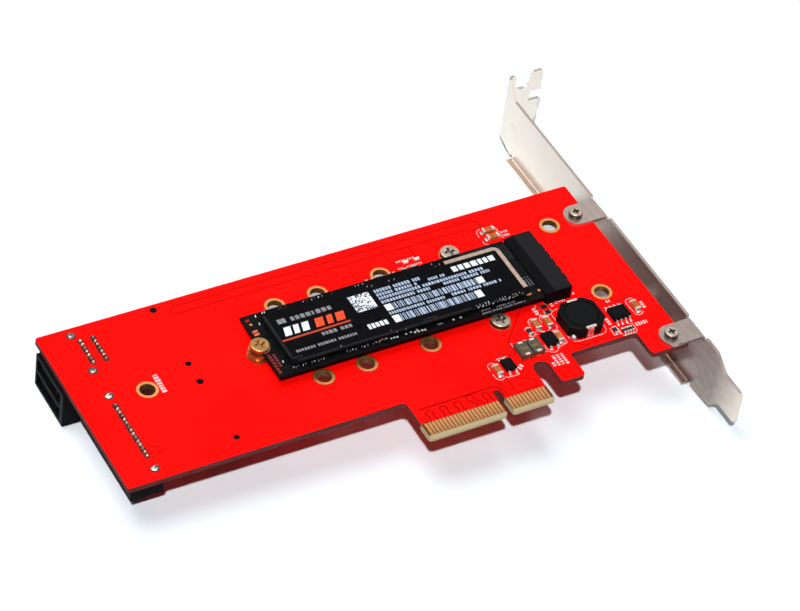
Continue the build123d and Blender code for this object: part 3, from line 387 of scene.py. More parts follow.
def trim_ends():
    """Small parts of the drive: tin at both ends, brown ceramic or black glaze between them."""
    made = Material("drive_trim", Specular_IOR_Level=0.25)
    trim_low, trim_high = span("drive_small_parts")
    grain = made.noise(1400, 3.0)
    front = made.below("Y", trim_high.y - TRIM_FRONT)
    back = made.above("Y", trim_high.y - TRIM_BACK)
    ends = made.math("MAXIMUM", front, back)
    brown = made.below("X", trim_low.x + BROWN_REACH)
    body = made.mix(brown, srgb(40, 36, 32), srgb(150, 104, 60))
    made.colour(made.mix(ends, body, srgb(206, 198, 186)))
    made.put(made.shader.inputs["Metallic"], ends)
    made.gloss(grain, 0.25, 0.45)
    made.bump(grain, 0.2)
    return made.material


MASK = solder_mask()
DARK_MASK = matt("mask_over_gap", srgb(164, 3, 2), srgb(196, 5, 3), 800, (0.3, 0.42), 0.05)
SILK = ink("silk_ink", srgb(240, 176, 178), srgb(252, 206, 206), 2500, (0.5, 0.65))
GOLD = contact_gold()
RING = speckled("ring_gold", srgb(202, 130, 72), srgb(228, 158, 98), 1500, (0.34, 0.46), Metallic=0.9)
# Hole walls in a darker gold than the rings: painted shade inside the holes
BARREL = speckled("barrel_gold", srgb(96, 68, 38), srgb(138, 104, 62), 1200, (0.4, 0.55), Metallic=0.7)
STEEL = screw_steel()
SHEET = satin_sheet()
BRASS = speckled("turned_brass", srgb(146, 108, 62), srgb(190, 148, 94), 900, (0.28, 0.4), 0.06,
                 stretch=(1, 1, 14), Metallic=0.95)
BLACK = socket_black()
HOUSING = matt("connector_plastic", srgb(7, 7, 9), srgb(16, 16, 18), 1800, (0.4, 0.55), 0.03)
DRIVE_MASK = matt("drive_mask", srgb(8, 9, 10), srgb(17, 18, 18), 700, (0.34, 0.46), 0.04)
CHIP = matt("chip_plastic", srgb(9, 9, 11), srgb(20, 20, 22), 2600, (0.55, 0.7), 0.03, 0.2)
FILM = matt("label_film", srgb(7, 7, 9), srgb(13, 13, 16), 500, (0.34, 0.42), 0.02, 0.03)
TIN = speckled("tin", srgb(186, 184, 180), srgb(232, 230, 226), 1800, (0.22, 0.38), 0.2, Metallic=0.95)
SOLDER = speckled("solder", srgb(120, 114, 112), srgb(214, 208, 202), 1100, (0.14, 0.3), 0.35,
                  Metallic=0.95)
DULL_SOLDER = speckled("dull_solder", srgb(64, 58, 58), srgb(126, 120, 118), 1500, (0.3, 0.45), 0.4,
                       Metallic=0.8)
FERRITE = matt("ferrite", srgb(5, 6, 7), srgb(13, 15, 16), 1700, (0.34, 0.46), 0.045, 0.2)
CORE = matt("ferrite_core", srgb(8, 9, 10), srgb(16, 18, 19), 1700, (0.34, 0.46), 0.045, 0.2)
COPPER = winding_wire()
CERAMIC = matt("ceramic", srgb(148, 78, 34), srgb(184, 112, 56), 1400, (0.36, 0.5), 0.3)
BIG_CERAMIC = matt("large_ceramic", srgb(64, 60, 50), srgb(86, 80, 67), 1200, (0.36, 0.5), 0.2)
BIG_END = capacitor_end()
TRIM = trim_ends()
OCHRE = ink("ochre_ink", srgb(122, 92, 44), srgb(150, 114, 60), 1500, (0.5, 0.6))
GLAZE = matt("resistor_glaze", srgb(24, 22, 22), srgb(44, 40, 38), 2000, (0.2, 0.32), 0.2)
LENS = matt("lamp_lens", srgb(240, 226, 216), srgb(252, 244, 236), 1500, (0.18, 0.3), 0.3)
WHITE_INK = ink("label_white", srgb(212, 220, 230), srgb(236, 242, 248))
BLUE_INK = ink("label_pale_blue", srgb(150, 166, 192), srgb(184, 200, 222))
GREY_INK = ink("label_grey", srgb(118, 118, 126), srgb(148, 148, 154))
DIM_INK = ink("label_dim", srgb(46, 46, 50), srgb(74, 74, 78))
ORANGE_INK = ink("label_orange", srgb(222, 70, 40), srgb(244, 92, 58))
RUST_INK = ink("label_rust", srgb(168, 56, 38), srgb(196, 76, 54))
STRIPE = matt("label_stripe", srgb(160, 138, 126), srgb(188, 164, 150), 900, (0.35, 0.45), 0.2)
PAD_COPPER = speckled("pad_copper", srgb(190, 110, 58), srgb(224, 146, 88), 1500, (0.3, 0.42),
                      Metallic=0.8)
RIM_DARK = matt("ring_gap", srgb(92, 26, 24), srgb(128, 40, 36), 900, (0.4, 0.5), 0.07)
# Painted sheen for the label's edges
PAINTED_SHEEN = matt("label_painted_sheen", srgb(20, 20, 24), srgb(28, 28, 32), 700, (0.4, 0.5), 0.08, 0.02)
RED_DOT = ink("mark_red", srgb(150, 18, 16), srgb(180, 28, 24), 1500, (0.4, 0.5))
SALMON = ink("mark_salmon", srgb(204, 92, 70), srgb(230, 118, 92), 1500, (0.4, 0.5))
RUSSET = ink("mark_russet", srgb(116, 38, 34), srgb(146, 56, 48), 1500, (0.4, 0.5))

NODE_MATERIALS = {
    "circuit_board": MASK, "edge_contacts": GOLD, "hole_rings": RING, "bracket": SHEET,
    "bracket_screws": STEEL, "bracket_nuts": STEEL, "drive_board": DRIVE_MASK,
    "drive_flash_chips": CHIP, "drive_cache_chip": CHIP, "drive_controller": CHIP,
    "drive_label": FILM, "drive_small_parts": TRIM, "drive_socket_housing": BLACK,
    "drive_socket_contacts": GOLD, "drive_standoff": BRASS, "drive_screw": BRASS,
    "low_socket_housings": BLACK, "low_socket_contacts": GOLD, "low_standoffs": BRASS,
    "standoff_screws": STEEL, "data_connector_housing": HOUSING, "data_connector_contacts": GOLD,
    "power_connector_housing": HOUSING, "power_connector_contacts": GOLD, "connector_locks": TIN,
    "inductor_shield": FERRITE, "inductor_core": CORE, "inductor_winding": COPPER,
    "inductor_clips": TIN, "large_capacitors": BIG_CERAMIC, "large_capacitor_ends": BIG_END,
    "small_capacitors": CERAMIC, "small_capacitor_ends": TIN, "resistors": GLAZE,
    "resistor_ends": TIN, "resistor_array": GLAZE, "resistor_array_ends": TIN,
    "status_lamps": LENS, "status_lamp_ends": TIN, "regulator": CHIP, "regulator_leads": TIN,
    "power_switches": CHIP, "power_switch_leads": TIN,
}
for name, material in NODE_MATERIALS.items():
    mesh = nodes[name].data
    mesh.materials.clear()
    mesh.materials.append(material)


# Geometry, in millimetres
PRINT_HEIGHT = 0.012
SHARPEST_CORNER = 0.5
CORNER_SHARE = 2.01
CORNER_STEPS = 3
DOME_SIDES = 14
DOME_RINGS = 4


def arc(x, y, radius, start, end, steps):
    """Points of an arc, from and to the given degrees."""
    turns = [math.radians(start + (end - start) * i / steps) for i in range(steps + 1)]
    return [(x + radius * math.cos(t), y + radius * math.sin(t)) for t in turns]


def circle(x, y, radius, sides):
    """Points of a circle."""
    return arc(x, y, radius, 0, 360 - 360 / sides, sides - 1)


def rounded(x0, x1, y0, y1, radius):
    """Outline of a rectangle with round corners, each a little smaller than half of a side."""
    radius = min(radius, (x1 - x0) / CORNER_SHARE, (y1 - y0) / CORNER_SHARE)
    outline = arc(x1 - radius, y0 + radius, radius, -90, 0, CORNER_STEPS)
    outline += arc(x1 - radius, y1 - radius, radius, 0, 90, CORNER_STEPS)
    outline += arc(x0 + radius, y1 - radius, radius, 90, 180, CORNER_STEPS)
    outline += arc(x0 + radius, y0 + radius, radius, 180, 270, CORNER_STEPS)
    return outline


class Sheaf:
    """Gathers flat print and small mounds with a material each, and turns them into one mesh piece."""

    def __init__(self):
        self.points = []
        self.faces = []
        self.materials = []

    def add(self, points, faces, material=None):
        """Adds a solid. Without a material it gets the first one of the piece."""
        start = len(self.points)
        self.points += [tuple(value * MM for value in point) for point in points]
        self.faces += [tuple(start + corner for corner in face) for face in faces]
        self.materials += [material] * len(faces)

    def prism(self, outline, level, material=None):
        """A field of print on a level, over an outline that runs anticlockwise."""
        count = len(outline)
        points = [(x, y, z) for z in (level, level + PRINT_HEIGHT) for x, y in outline]
        faces = [tuple(range(count, 2 * count)), tuple(reversed(range(count)))]
        faces += [(i, (i + 1) % count, count + (i + 1) % count, count + i) for i in range(count)]
        self.add(points, faces, material)

    def plate(self, x0, x1, y0, y1, level, material, corner):
        """A rectangle of print with round corners."""
        self.prism(rounded(x0, x1, y0, y1, corner), level, material)

    def tick(self, x, y0, y1, foot, head, level, material):
        """A leaning stroke of print. Foot and head are the ends of its lower and upper edge from x."""
        outline = [(x + foot[0], y0), (x + foot[1], y0), (x + head[1], y1), (x + head[0], y1)]
        self.prism(outline, level, material)

    def ribbon(self, path, width, level, material=None, closed=False):
        """A strip of print of constant width along a path."""
        left = []
        right = []
        count = len(path)
        for i in range(count):
            before = Vector(path[i - 1]) if i or closed else None
            here = Vector(path[i])
            after = Vector(path[(i + 1) % count]) if i < count - 1 or closed else None
            ahead = (after - here).normalized() if after else (here - before).normalized()
            behind = (here - before).normalized() if before else ahead
            along = (ahead + behind).normalized()
            side = Vector((-along.y, along.x))
            reach = width / 2 / max(SHARPEST_CORNER, side.dot(Vector((-ahead.y, ahead.x))))
            left.append(here + side * reach)
            right.append(here - side * reach)
        points = [(p.x, p.y, z) for z in (level, level + PRINT_HEIGHT) for p in left + right]
        layer = 2 * count
        faces = []
        for i in range(count if closed else count - 1):
            j = (i + 1) % count
            faces.append((layer + i, layer + count + i, layer + count + j, layer + j))
            faces.append((i, j, count + j, count + i))
            faces.append((i, layer + i, layer + j, j))
            faces.append((count + i, count + j, layer + count + j, layer + count + i))
        if not closed:
            end = count - 1
            faces.append((0, count, layer + count, layer))
            faces.append((end, layer + end, layer + count + end, count + end))
        self.add(points, faces, material)

    def dome(self, x, y, low, radius, height, material=None, stretch=1.0):
        """A rounded mound, such as a solder joint, which may be longer along Y."""
        points = []
        for ring in range(DOME_RINGS):
            angle = math.pi / 2 * ring / DOME_RINGS
            reach = radius * math.cos(angle)
            z = low + height * math.sin(angle)
            for step in range(DOME_SIDES):
                turn = 2 * math.pi * step / DOME_SIDES
                points.append((x + reach * math.cos(turn), y + stretch * reach * math.sin(turn), z))
        points.append((x, y, low + height))
        faces = []
        for ring in range(DOME_RINGS - 1):
            for step in range(DOME_SIDES):
                here = ring * DOME_SIDES + step
                beside = ring * DOME_SIDES + (step + 1) % DOME_SIDES
                faces.append((here, beside, beside + DOME_SIDES, here + DOME_SIDES))
        top = (DOME_RINGS - 1) * DOME_SIDES
        tip = len(points) - 1
        faces += [(top + step, top + (step + 1) % DOME_SIDES, tip) for step in range(DOME_SIDES)]
        faces.append(tuple(reversed(range(DOME_SIDES))))
        self.add(points, faces, material)

    def build(self, name, materials, smooth=False):
        """Makes the piece, which rides the card's one body."""
        mesh = bpy.data.meshes.new(name)
        mesh.from_pydata(self.points, [], self.faces)
        for material in materials:
            mesh.materials.append(material)
        for polygon, material in zip(mesh.polygons, self.materials):
            polygon.material_index = materials.index(material) if material else 0
            polygon.use_smooth = smooth
        mesh.validate()
        mesh.update()
        piece = bpy.data.objects.new(name, mesh)
        bpy.context.scene.collection.objects.link(piece)
        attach(piece, "root")


# Dark gaps in the copper, seen through the mask on the solder side
GAP_WIDTH = 0.3
WIDE_GAP = 0.55
SHORT_GAP = 0.4
traces = Sheaf()
loop_left = -61.9
loop_top = 64.2
loop_low = 61.7
loop_radius = (loop_top - loop_low) / 2
loop_middle = (loop_top + loop_low) / 2
loop_lines = (
    [(25.9, 60.4)] + arc(23.9, 62.2, 2.0, 0, 90, 5) + [(loop_left + loop_radius, loop_top)]
    + arc(loop_left + loop_radius, loop_middle, loop_radius, 90, 270, 8)[1:]
    + [(22.4, loop_low)] + arc(22.4, 60.5, 1.2, 90, 0, 4)[1:]
)
trace_paths = [
    loop_lines,
    [(4.6, 61.7), (4.6, 55.6)],
    [(20.9, 31.5), (11.3, 21.6), (11.3, 17.5)],
    [(8.6, 17.45), (11.6, 17.45)],
    [(10.8, 14.6), (15.2, 14.6)],
    [(2.15, 11.4), (2.15, 5.6)],
    [(4.8, 11.2), (4.8, 5.6)],
    arc(7.2, 5.6, 4.3, 90, 28, 6) + [(11.5, 7.0)],
    [(4.2, 5.55), (11.5, 5.55)],
    [(44.3, 26.0), (44.3, 24.1), (49.2, 24.1)],
    [(37.6, 28.2), (41.0, 28.2)],
    [(26.9, 12.9), (33.5, 14.0), (40.0, 13.0)],
    [(30.0, 13.0), (27.0, 15.0)],
]
for path in trace_paths:
    traces.ribbon(path, GAP_WIDTH, FACE)
traces.ribbon([(-20.9, 9.6), (0.4, 9.6), (1.3, 8.8), (1.3, 5.6)], WIDE_GAP, FACE)
traces.ribbon([(-21.6, 5.35), (-20.5, 5.35)], SHORT_GAP, FACE)

# Outlines of the copper under the mask above the long row of contacts
OUTLINE_WIDTH = 0.46
HEAD_RADIUS = 0.95
NECK = 0.75
NECK_FLARE = 0.25
NECK_TAPER = 0.1
foot_low = 5.2
foot_high = 6.0
for middle, lean, height in ((-18.9, 0.1, 7.6), (-14.9, 0.1, 7.7), (-10.9, 0.1, 7.7), (-7.1, 1.4, 8.4),
                             (-2.9, 0.1, 7.7)):
    head = arc(middle, height, HEAD_RADIUS, -40, 220, 8)
    foot = middle + lean
    outline = ([(foot + NECK + NECK_FLARE, foot_low), (foot + NECK - NECK_TAPER, foot_high)] + head
               + [(foot - NECK + NECK_TAPER, foot_high), (foot - NECK - NECK_FLARE, foot_low)])
    traces.ribbon(outline, OUTLINE_WIDTH, FACE)

# A lobe beside the first pins of the power connector, and two short gaps between them
LOBE_WIDTH = 0.22
lobe = [(-87.4, 23.7), (-86.3, 23.5)] + arc(-85.2, 21.9, 1.1, 80, -80, 6) + [(-86.3, 20.3), (-87.4, 20.1)]
traces.ribbon(lobe, LOBE_WIDTH, FACE)
for y in (22.6, 21.35):
    traces.ribbon([(-87.5, y), (-86.7, y)], SHORT_GAP, FACE)

# Solder joints of both connectors, each in a dark ring
DATA_ROWS = (-87.0, -83.6)
POWER_ROW = -88.2
PIN_PITCH = 1.27
DATA_PINS = 7
POWER_PINS = 15
RING_SIDES = 18
PIN_RING = 0.86
RING_WANDER = 0.1
PIN_RADIUS = 0.5
PIN_HEIGHT = 0.5
TIP_LIFT = 0.2
TIP_RADIUS = 0.42
TIP_HEIGHT = 0.46
data_first = 53.99
power_first = 20.91
pins = [(x, data_first + PIN_PITCH * i) for x in DATA_ROWS for i in range(DATA_PINS)]
pins += [(POWER_ROW, power_first + PIN_PITCH * i) for i in range(POWER_PINS)]
joints = Sheaf()
for index, (x, y) in enumerate(pins):
    solder = DULL_SOLDER if index % 3 == 1 else SOLDER
    ring = PIN_RING + RING_WANDER * math.sin(index * 2.1)
    traces.prism(circle(x, y, ring, RING_SIDES), FACE, RIM_DARK)
    joints.dome(x, y, FACE, PIN_RADIUS + dice.uniform(-0.03, 0.05), PIN_HEIGHT, solder)
    joints.dome(x, y, FACE + TIP_LIFT, TIP_RADIUS, TIP_HEIGHT, solder)

# Solder on the locks: each mound's place from the lock, its lift, radius and height
LOCK_RING = 1.28
WHOLE_MOUND = [(0, 0, 0, 1.08, 0.42, DULL_SOLDER), (0.4, 0.4, 0.15, 0.4, 0.28, DULL_SOLDER)]
SPLIT_MOUND = [(-0.5, 0, 0, 0.66, 0.42, SOLDER), (0.3, 0.1, 0, 0.95, 0.38, DULL_SOLDER)]
for x, y, mounds in ((-88.3, 51.5, WHOLE_MOUND), (-88.3, 64.3, WHOLE_MOUND), (-88.2, 16.7, SPLIT_MOUND),
                     (-88.2, 42.3, SPLIT_MOUND)):
    traces.prism(circle(x, y, LOCK_RING, RING_SIDES), FACE, RIM_DARK)
    for shift_x, shift_y, lift, radius, height, solder in mounds:
        joints.dome(x + shift_x, y + shift_y, FACE + lift, radius, height, solder)

# Dark rims round the rings of the mounting holes
LONG_DRIVE_HOLE = (-78.8, 40.7)
SHORT_DRIVE_HOLES = [(x, 40.7) for x in (-28.8, -10.8, 1.2)]
LOW_DRIVE_HOLES = [(x, 54.95) for x in (-37, -25, -7, 43)] + [(x, 28.45) for x in (43, -7, -25, -37)]
RING_RADIUS = 2.75
RIM_WIDTH = 0.2
RIM_SIDES = 45
for x, y in [LONG_DRIVE_HOLE] + LOW_DRIVE_HOLES:
    traces.ribbon(circle(x, y, RING_RADIUS + RIM_WIDTH / 2, RIM_SIDES), RIM_WIDTH, FACE, closed=True)
traces.build("mask_gaps", [DARK_MASK, RIM_DARK])

# Solder at the feet of the chip parts, as low mounds: place, radius, height, and length over width
SOLDER_SPOTS = [
    (24.75, 59.0, 0.42, 0.3, 1.9), (24.75, 56.4, 0.42, 0.3, 1.9), (28.6, 59.0, 0.35, 0.25, 1.9),
    (28.6, 56.4, 0.35, 0.25, 1.9), (20.9, 25.95, 0.8, 0.3, 0.45), (20.9, 22.2, 0.8, 0.3, 0.45),
    (24.2, 25.75, 0.8, 0.3, 0.45), (24.2, 22.0, 0.8, 0.3, 0.45), (24.1, 16.4, 0.85, 0.35, 0.6),
    (24.1, 20.1, 0.8, 0.3, 0.4), (3.8, 15.65, 0.85, 0.3, 0.5), (3.8, 11.9, 0.85, 0.4, 0.6),
    (48.2, 22.45, 0.85, 0.3, 0.45), (48.2, 18.65, 0.85, 0.35, 0.6), (6.2, 16.9, 0.4, 0.2, 0.8),
    (6.4, 11.5, 0.4, 0.2, 0.8), (8.3, 11.5, 0.4, 0.2, 0.8), (21.2, 22.1, 0.5, 0.22, 0.8),
    (20.3, 15.4, 0.45, 0.2, 0.9), (22.4, 15.4, 0.45, 0.2, 0.9), (18.2, 24.1, 0.55, 0.18, 0.5),
    (18.2, 21.7, 0.55, 0.18, 0.5), (38.9, 16.25, 0.55, 0.18, 0.5), (38.9, 13.75, 0.55, 0.18, 0.5),
    (24.0, 29.1, 0.2, 0.16, 2.6), (26.4, 29.1, 0.2, 0.16, 2.6), (24.0, 27.2, 0.2, 0.16, 2.6),
    (26.4, 27.2, 0.2, 0.16, 2.6), (27.6, 16.7, 1.0, 1.35, 0.9), (35.75, 30.7, 0.4, 0.25, 1.0),
    (30.0, 29.2, 0.5, 0.2, 0.7),
]
for x, y, radius, height, stretch in SOLDER_SPOTS:
    joints.dome(x, y, FACE, radius, height, stretch=stretch)

# Solder at the two rows of leads of a leaded chip and of the resistor array: middle, pitch and rows
LEADS = 4
LEAD_ROWS = [(42.7, 1.27, (16.5, 22.9), 0.32, 0.16, 1.6), (42.0, 0.8, (15.0, 12.8), 0.26, 0.2, 1.3)]
for i in range(LEADS):
    for middle, pitch, rows, radius, height, stretch in LEAD_ROWS:
        for y in rows:
            joints.dome(middle + (i - 1.5) * pitch, y, FACE, radius, height, stretch=stretch)
joints.build("solder_joints", [SOLDER, DULL_SOLDER], smooth=True)

# Plated walls of the open mounting holes, in a darker gold than the rings: a painted shade inside the holes
BARREL_OUTER = 1.999
BARREL_INNER = 1.94
BARREL_SIDES = 48
barrels = Sheaf()
for x, y in [LONG_DRIVE_HOLE] + SHORT_DRIVE_HOLES + LOW_DRIVE_HOLES:
    outer = circle(x, y, BARREL_OUTER, BARREL_SIDES)
    inner = circle(x, y, BARREL_INNER, BARREL_SIDES)
    count = BARREL_SIDES
    points = [(px, py, z) for z in (UNDER, FACE) for px, py in outer + inner]
    faces = []
    for i in range(count):
        j = (i + 1) % count
        faces.append((count + j, count + i, 3 * count + i, 3 * count + j))
        faces.append((i, j, 2 * count + j, 2 * count + i))
        faces.append((2 * count + i, 2 * count + j, 3 * count + j, 3 * count + i))
        faces.append((i, count + i, count + j, j))
    barrels.add(points, faces)
barrels.build("hole_barrels", [BARREL])

# Blocks and bars of print
BLOCK_REST = 0.2
BLOCK_CORNER = 0.08
BAR_WIDTHS = (0.16, 0.25, 0.4, 0.75)
BAR_GAPS = (0.2, 0.2, 0.32, 0.45)
BAR_END = 1.95
BAR_MARGIN = 0.3
LAST_MARGIN = 0.25
BAR_INSET = 0.04
BAR_CORNER = 0.03
FIELD_CORNER = 0.05


def blocks(sheaf, box, level, material, unit, gap, word, fill, upright=False):
    """A line of print shown as plain blocks of uneven width, with a wider gap after each word."""
    x0, x1, y0, y1 = box
    start, end = (y0, y1) if upright else (x0, x1)
    count = 0
    while start < end - BLOCK_REST:
        size = min(unit * dice.uniform(0.75, 1.25), end - start)
        inset = (1 - fill) * (x1 - x0 if upright else y1 - y0) / 2 * dice.uniform(0.4, 1)
        if upright:
            sheaf.plate(x0 + inset, x1 - inset, start, start + size, level, material, BLOCK_CORNER)
        else:
            sheaf.plate(start, start + size, y0 + inset, y1 - inset, level, material, BLOCK_CORNER)
        count += 1
        start += size + gap + (unit if count % word == 0 else 0)


def bars(sheaf, x0, x1, y0, y1, level):
    """A field of pale blue bars of uneven width between two solid white ends."""
    sheaf.plate(x0, x0 + BAR_END, y0, y1, level, WHITE_INK, FIELD_CORNER)
    sheaf.plate(x1 - BAR_END, x1, y0, y1, level, WHITE_INK, FIELD_CORNER)
    start = x0 + BAR_END + BAR_MARGIN
    while start < x1 - BAR_END - BAR_MARGIN:
        size = min(dice.choice(BAR_WIDTHS), x1 - BAR_END - LAST_MARGIN - start)
        sheaf.plate(start, start + size, y0 + BAR_INSET, y1 - BAR_INSET, level, BLUE_INK, BAR_CORNER)
        start += size + dice.choice(BAR_GAPS)


# Print on the drive's label: plain lines and fields, with no words
label = Sheaf()


def label_lines(material, gap, lines, fill=0.85):
    """Lines of print in one ink, with the box, the width of a block and the blocks in a word of each."""
    for box, unit, word in lines:
        blocks(label, box, LABEL, material, unit, gap, word, fill)


label_lines(GREY_INK, 0.15, [((-41.6, -39.3, 44.7, 46.3), 1.05, 9)], fill=1.0)
label_lines(GREY_INK, 0.42, [((-38.0, -31.6, 44.6, 46.1), 1.15, 9), ((-31.0, -26.8, 44.6, 46.1), 1.1, 9)])
FIELD_LOW = 40.35
FIELD_HIGH = 43.25
FIELD_LEAN = 0.75
UNDERLINE = 0.62
for x, width, material in ((-41.9, 1.9, WHITE_INK), (-39.3, 1.5, WHITE_INK), (-37.0, 1.9, WHITE_INK),
                           (-33.3, 2.3, ORANGE_INK), (-30.1, 1.6, ORANGE_INK), (-27.6, 2.4, ORANGE_INK)):
    label.tick(x, FIELD_LOW, FIELD_HIGH, (0, width), (FIELD_LEAN, width + FIELD_LEAN), LABEL, material)
label.ribbon([(-43.5, 39.15), (-24.4, 39.4)], UNDERLINE, LABEL, RUST_INK)
label_lines(GREY_INK, 0.28, [((-33.2, -29.0, 37.2, 38.4), 0.85, 9), ((-28.0, -24.7, 37.2, 38.4), 0.85, 9)])
label_lines(GREY_INK, 0.24, [((-41.8, -24.5, 34.3, 35.25), 0.5, 7)])
label_lines(WHITE_INK, 0.3, [((-21.4, -15.6, 34.7, 36.5), 0.85, 9)])

# Dotted square
dot_left = -21.45
dot_low = 41.05
DOT_COUNT = 15
DOT_STEP = 0.385
DOT_HALF = 0.17
DOT_CORNER = 0.02
DARK_SHARE = 0.36
dot_side = DOT_COUNT * DOT_STEP
label.plate(dot_left, dot_left + dot_side, dot_low, dot_low + dot_side, LABEL, WHITE_INK, FIELD_CORNER)
for row in range(DOT_COUNT):
    for column in range(DOT_COUNT):
        if dice.random() < DARK_SHARE:
            x = dot_left + (column + 0.5) * DOT_STEP
            y = dot_low + (row + 0.5) * DOT_STEP
            label.plate(x - DOT_HALF, x + DOT_HALF, y - DOT_HALF, y + DOT_HALF, LABEL + PRINT_HEIGHT, FILM,
                        DOT_CORNER)

# Small print and the two fields of bars
label_lines(BLUE_INK, 0.24, [
    ((-14.2, -0.9, 45.6, 46.8), 0.62, 6), ((-14.2, -2.6, 44.3, 45.3), 0.56, 6),
    ((0.7, 5.4, 44.5, 45.5), 0.56, 4), ((-14.2, 16.0, 43.0, 44.05), 0.56, 16),
    ((-14.2, -0.4, 41.6, 42.65), 0.56, 12), ((3.6, 16.9, 41.7, 42.75), 0.56, 6),
])
bars(label, -14.2, 14.0, 38.85, 41.05, LABEL)
label_lines(BLUE_INK, 0.22, [((-14.2, 1.8, 37.4, 38.4), 0.5, 14)])
label_lines(BLUE_INK, 0.24, [((3.7, 18.2, 37.5, 38.5), 0.56, 5)])
bars(label, -14.2, 11.3, 34.45, 36.9, LABEL)
label_lines(WHITE_INK, 0.42, [((8.1, 20.5, 44.95, 46.85), 1.35, 9)], fill=0.95)

# Warm grey stripe along the back of the label and round its corner
STRIPE_WIDTH = 1.15
stripe_path = [(7.4, 48.75)] + arc(21.3, 47.5, 1.25, 90, 0, 6) + [(22.55, 33.4)]
label.ribbon(stripe_path, STRIPE_WIDTH, LABEL, STRIPE)

# Short leaning ticks along the label's edges
TICK_FOOT = (-0.22, 0.02)
TICK_HEAD = (-0.02, 0.22)
TICK_HALF = 0.28
EDGE_TICKS = [
    (-43.6, 49.9, WHITE_INK), (-43.0, 49.95, WHITE_INK), (-39.0, 49.6, DIM_INK), (-38.4, 49.7, DIM_INK),
    (-37.2, 49.7, DIM_INK), (-32.3, 49.7, GREY_INK), (-31.3, 49.75, DIM_INK), (-30.0, 49.5, GREY_INK),
    (-29.0, 49.8, DIM_INK), (-28.0, 49.75, WHITE_INK), (-27.0, 49.75, GREY_INK), (-24.4, 49.7, DIM_INK),
    (-17.6, 49.7, GREY_INK), (-16.7, 49.75, GREY_INK), (-15.5, 49.8, GREY_INK), (-14.9, 48.5, GREY_INK),
    (-13.7, 48.3, GREY_INK), (-8.8, 48.3, GREY_INK), (-7.3, 48.3, GREY_INK), (4.2, 49.6, GREY_INK),
    (4.7, 48.5, DIM_INK), (6.1, 48.8, GREY_INK), (-30.8, 32.3, GREY_INK), (-16.6, 32.5, DIM_INK),
    (-15.5, 31.6, GREY_INK), (-12.9, 31.6, GREY_INK), (-7.0, 32.7, DIM_INK), (9.0, 31.4, WHITE_INK),
    (11.0, 31.9, GREY_INK), (12.4, 31.6, DIM_INK), (14.1, 31.8, GREY_INK), (17.0, 31.7, GREY_INK),
]
for x, y, material in EDGE_TICKS:
    label.tick(x, y - TICK_HALF, y + TICK_HALF, TICK_FOOT, TICK_HEAD, LABEL, material)

# Fine specks at the front of the label's socket end
SPECK_ROWS = (31.32, 31.76, 32.2)
SPECK_COUNT = 17
SPECK_STEP = 0.82
SPECK_SHARE = 0.72
SPECK_HALF = 0.18
SPECK_FOOT = (-0.15, 0.05)
SPECK_HEAD = (-0.02, 0.18)
speck_first = 7.6
specks = random.Random(5)
for row in SPECK_ROWS:
    for i in range(SPECK_COUNT):
        x = speck_first + SPECK_STEP * i + specks.uniform(-0.2, 0.2)
        y = row + specks.uniform(-0.08, 0.08)
        material = specks.choice((DIM_INK, GREY_INK, GREY_INK, STRIPE, WHITE_INK))
        if specks.random() < SPECK_SHARE:
            label.tick(x, y - SPECK_HALF, y + SPECK_HALF, SPECK_FOOT, SPECK_HEAD, LABEL, material)

# A row of dim strokes behind the stripe
STROKE_COUNT = 17
STROKE_STEP = 0.55
STROKE_FOOT = (0, 0.16)
STROKE_HEAD = (0.34, 0.5)
stroke_first = 12.3
for i in range(STROKE_COUNT):
    label.tick(stroke_first + STROKE_STEP * i, 49.6, 50.15, STROKE_FOOT, STROKE_HEAD, LABEL, DIM_INK)

# Painted sheen along the front and left edges: lighter plates that stand in for reflection
SHEEN_CORNER = 0.2
for x0, x1, y0, y1 in ((-43.9, -41.0, 32.7, 33.3), (-7.4, -3.5, 32.4, 33.0), (-44.2, -43.4, 33.5, 48.9),
                       (-42.6, 6.0, 31.6, 32.2)):
    label.plate(x0, x1, y0, y1, LABEL, PAINTED_SHEEN, SHEEN_CORNER)
LABEL_INKS_AND_SHEEN = [WHITE_INK, BLUE_INK, GREY_INK, DIM_INK, ORANGE_INK, RUST_INK, STRIPE, FILM, PAINTED_SHEEN]
label.build("label_print", LABEL_INKS_AND_SHEEN)

# Marks, pads and joints on the drive's own board
PAD_SIDES = 12
PAD_CORNER = 0.2
MARK_HALF = 0.4
MARK_FILL = 0.9
NOTCH_RIM = 0.85
marks = Sheaf()
marks.plate(-48.05, -46.95, 49.6, 50.4, DRIVE, RED_DOT, PAD_CORNER)
marks.prism(circle(-47.3, 48.45, 0.42, PAD_SIDES), DRIVE, PAD_COPPER)
for y in (44.45, 45.5):
    marks.prism([(-48.2, y), (-46.8, y + 0.1), (-46.6, y + 0.85), (-48.1, y + 0.75)], DRIVE, SALMON)
for box in ((-48.4, -47.6, 30.7, 37.5), (-47.2, -46.45, 32.8, 37.4)):
    blocks(marks, box, DRIVE, RUSSET, 0.72, 0.3, 20, MARK_FILL, upright=True)
marks.ribbon(arc(-48.8, 40.7, 2.2, -88, 88, 16), NOTCH_RIM, DRIVE, PAD_COPPER)
for x, y in ((-45.2, 47.9), (-45.7, 34.1), (-44.9, 50.7)):
    marks.tick(x, y - MARK_HALF, y + MARK_HALF, TICK_FOOT, TICK_HEAD, DRIVE, WHITE_INK)

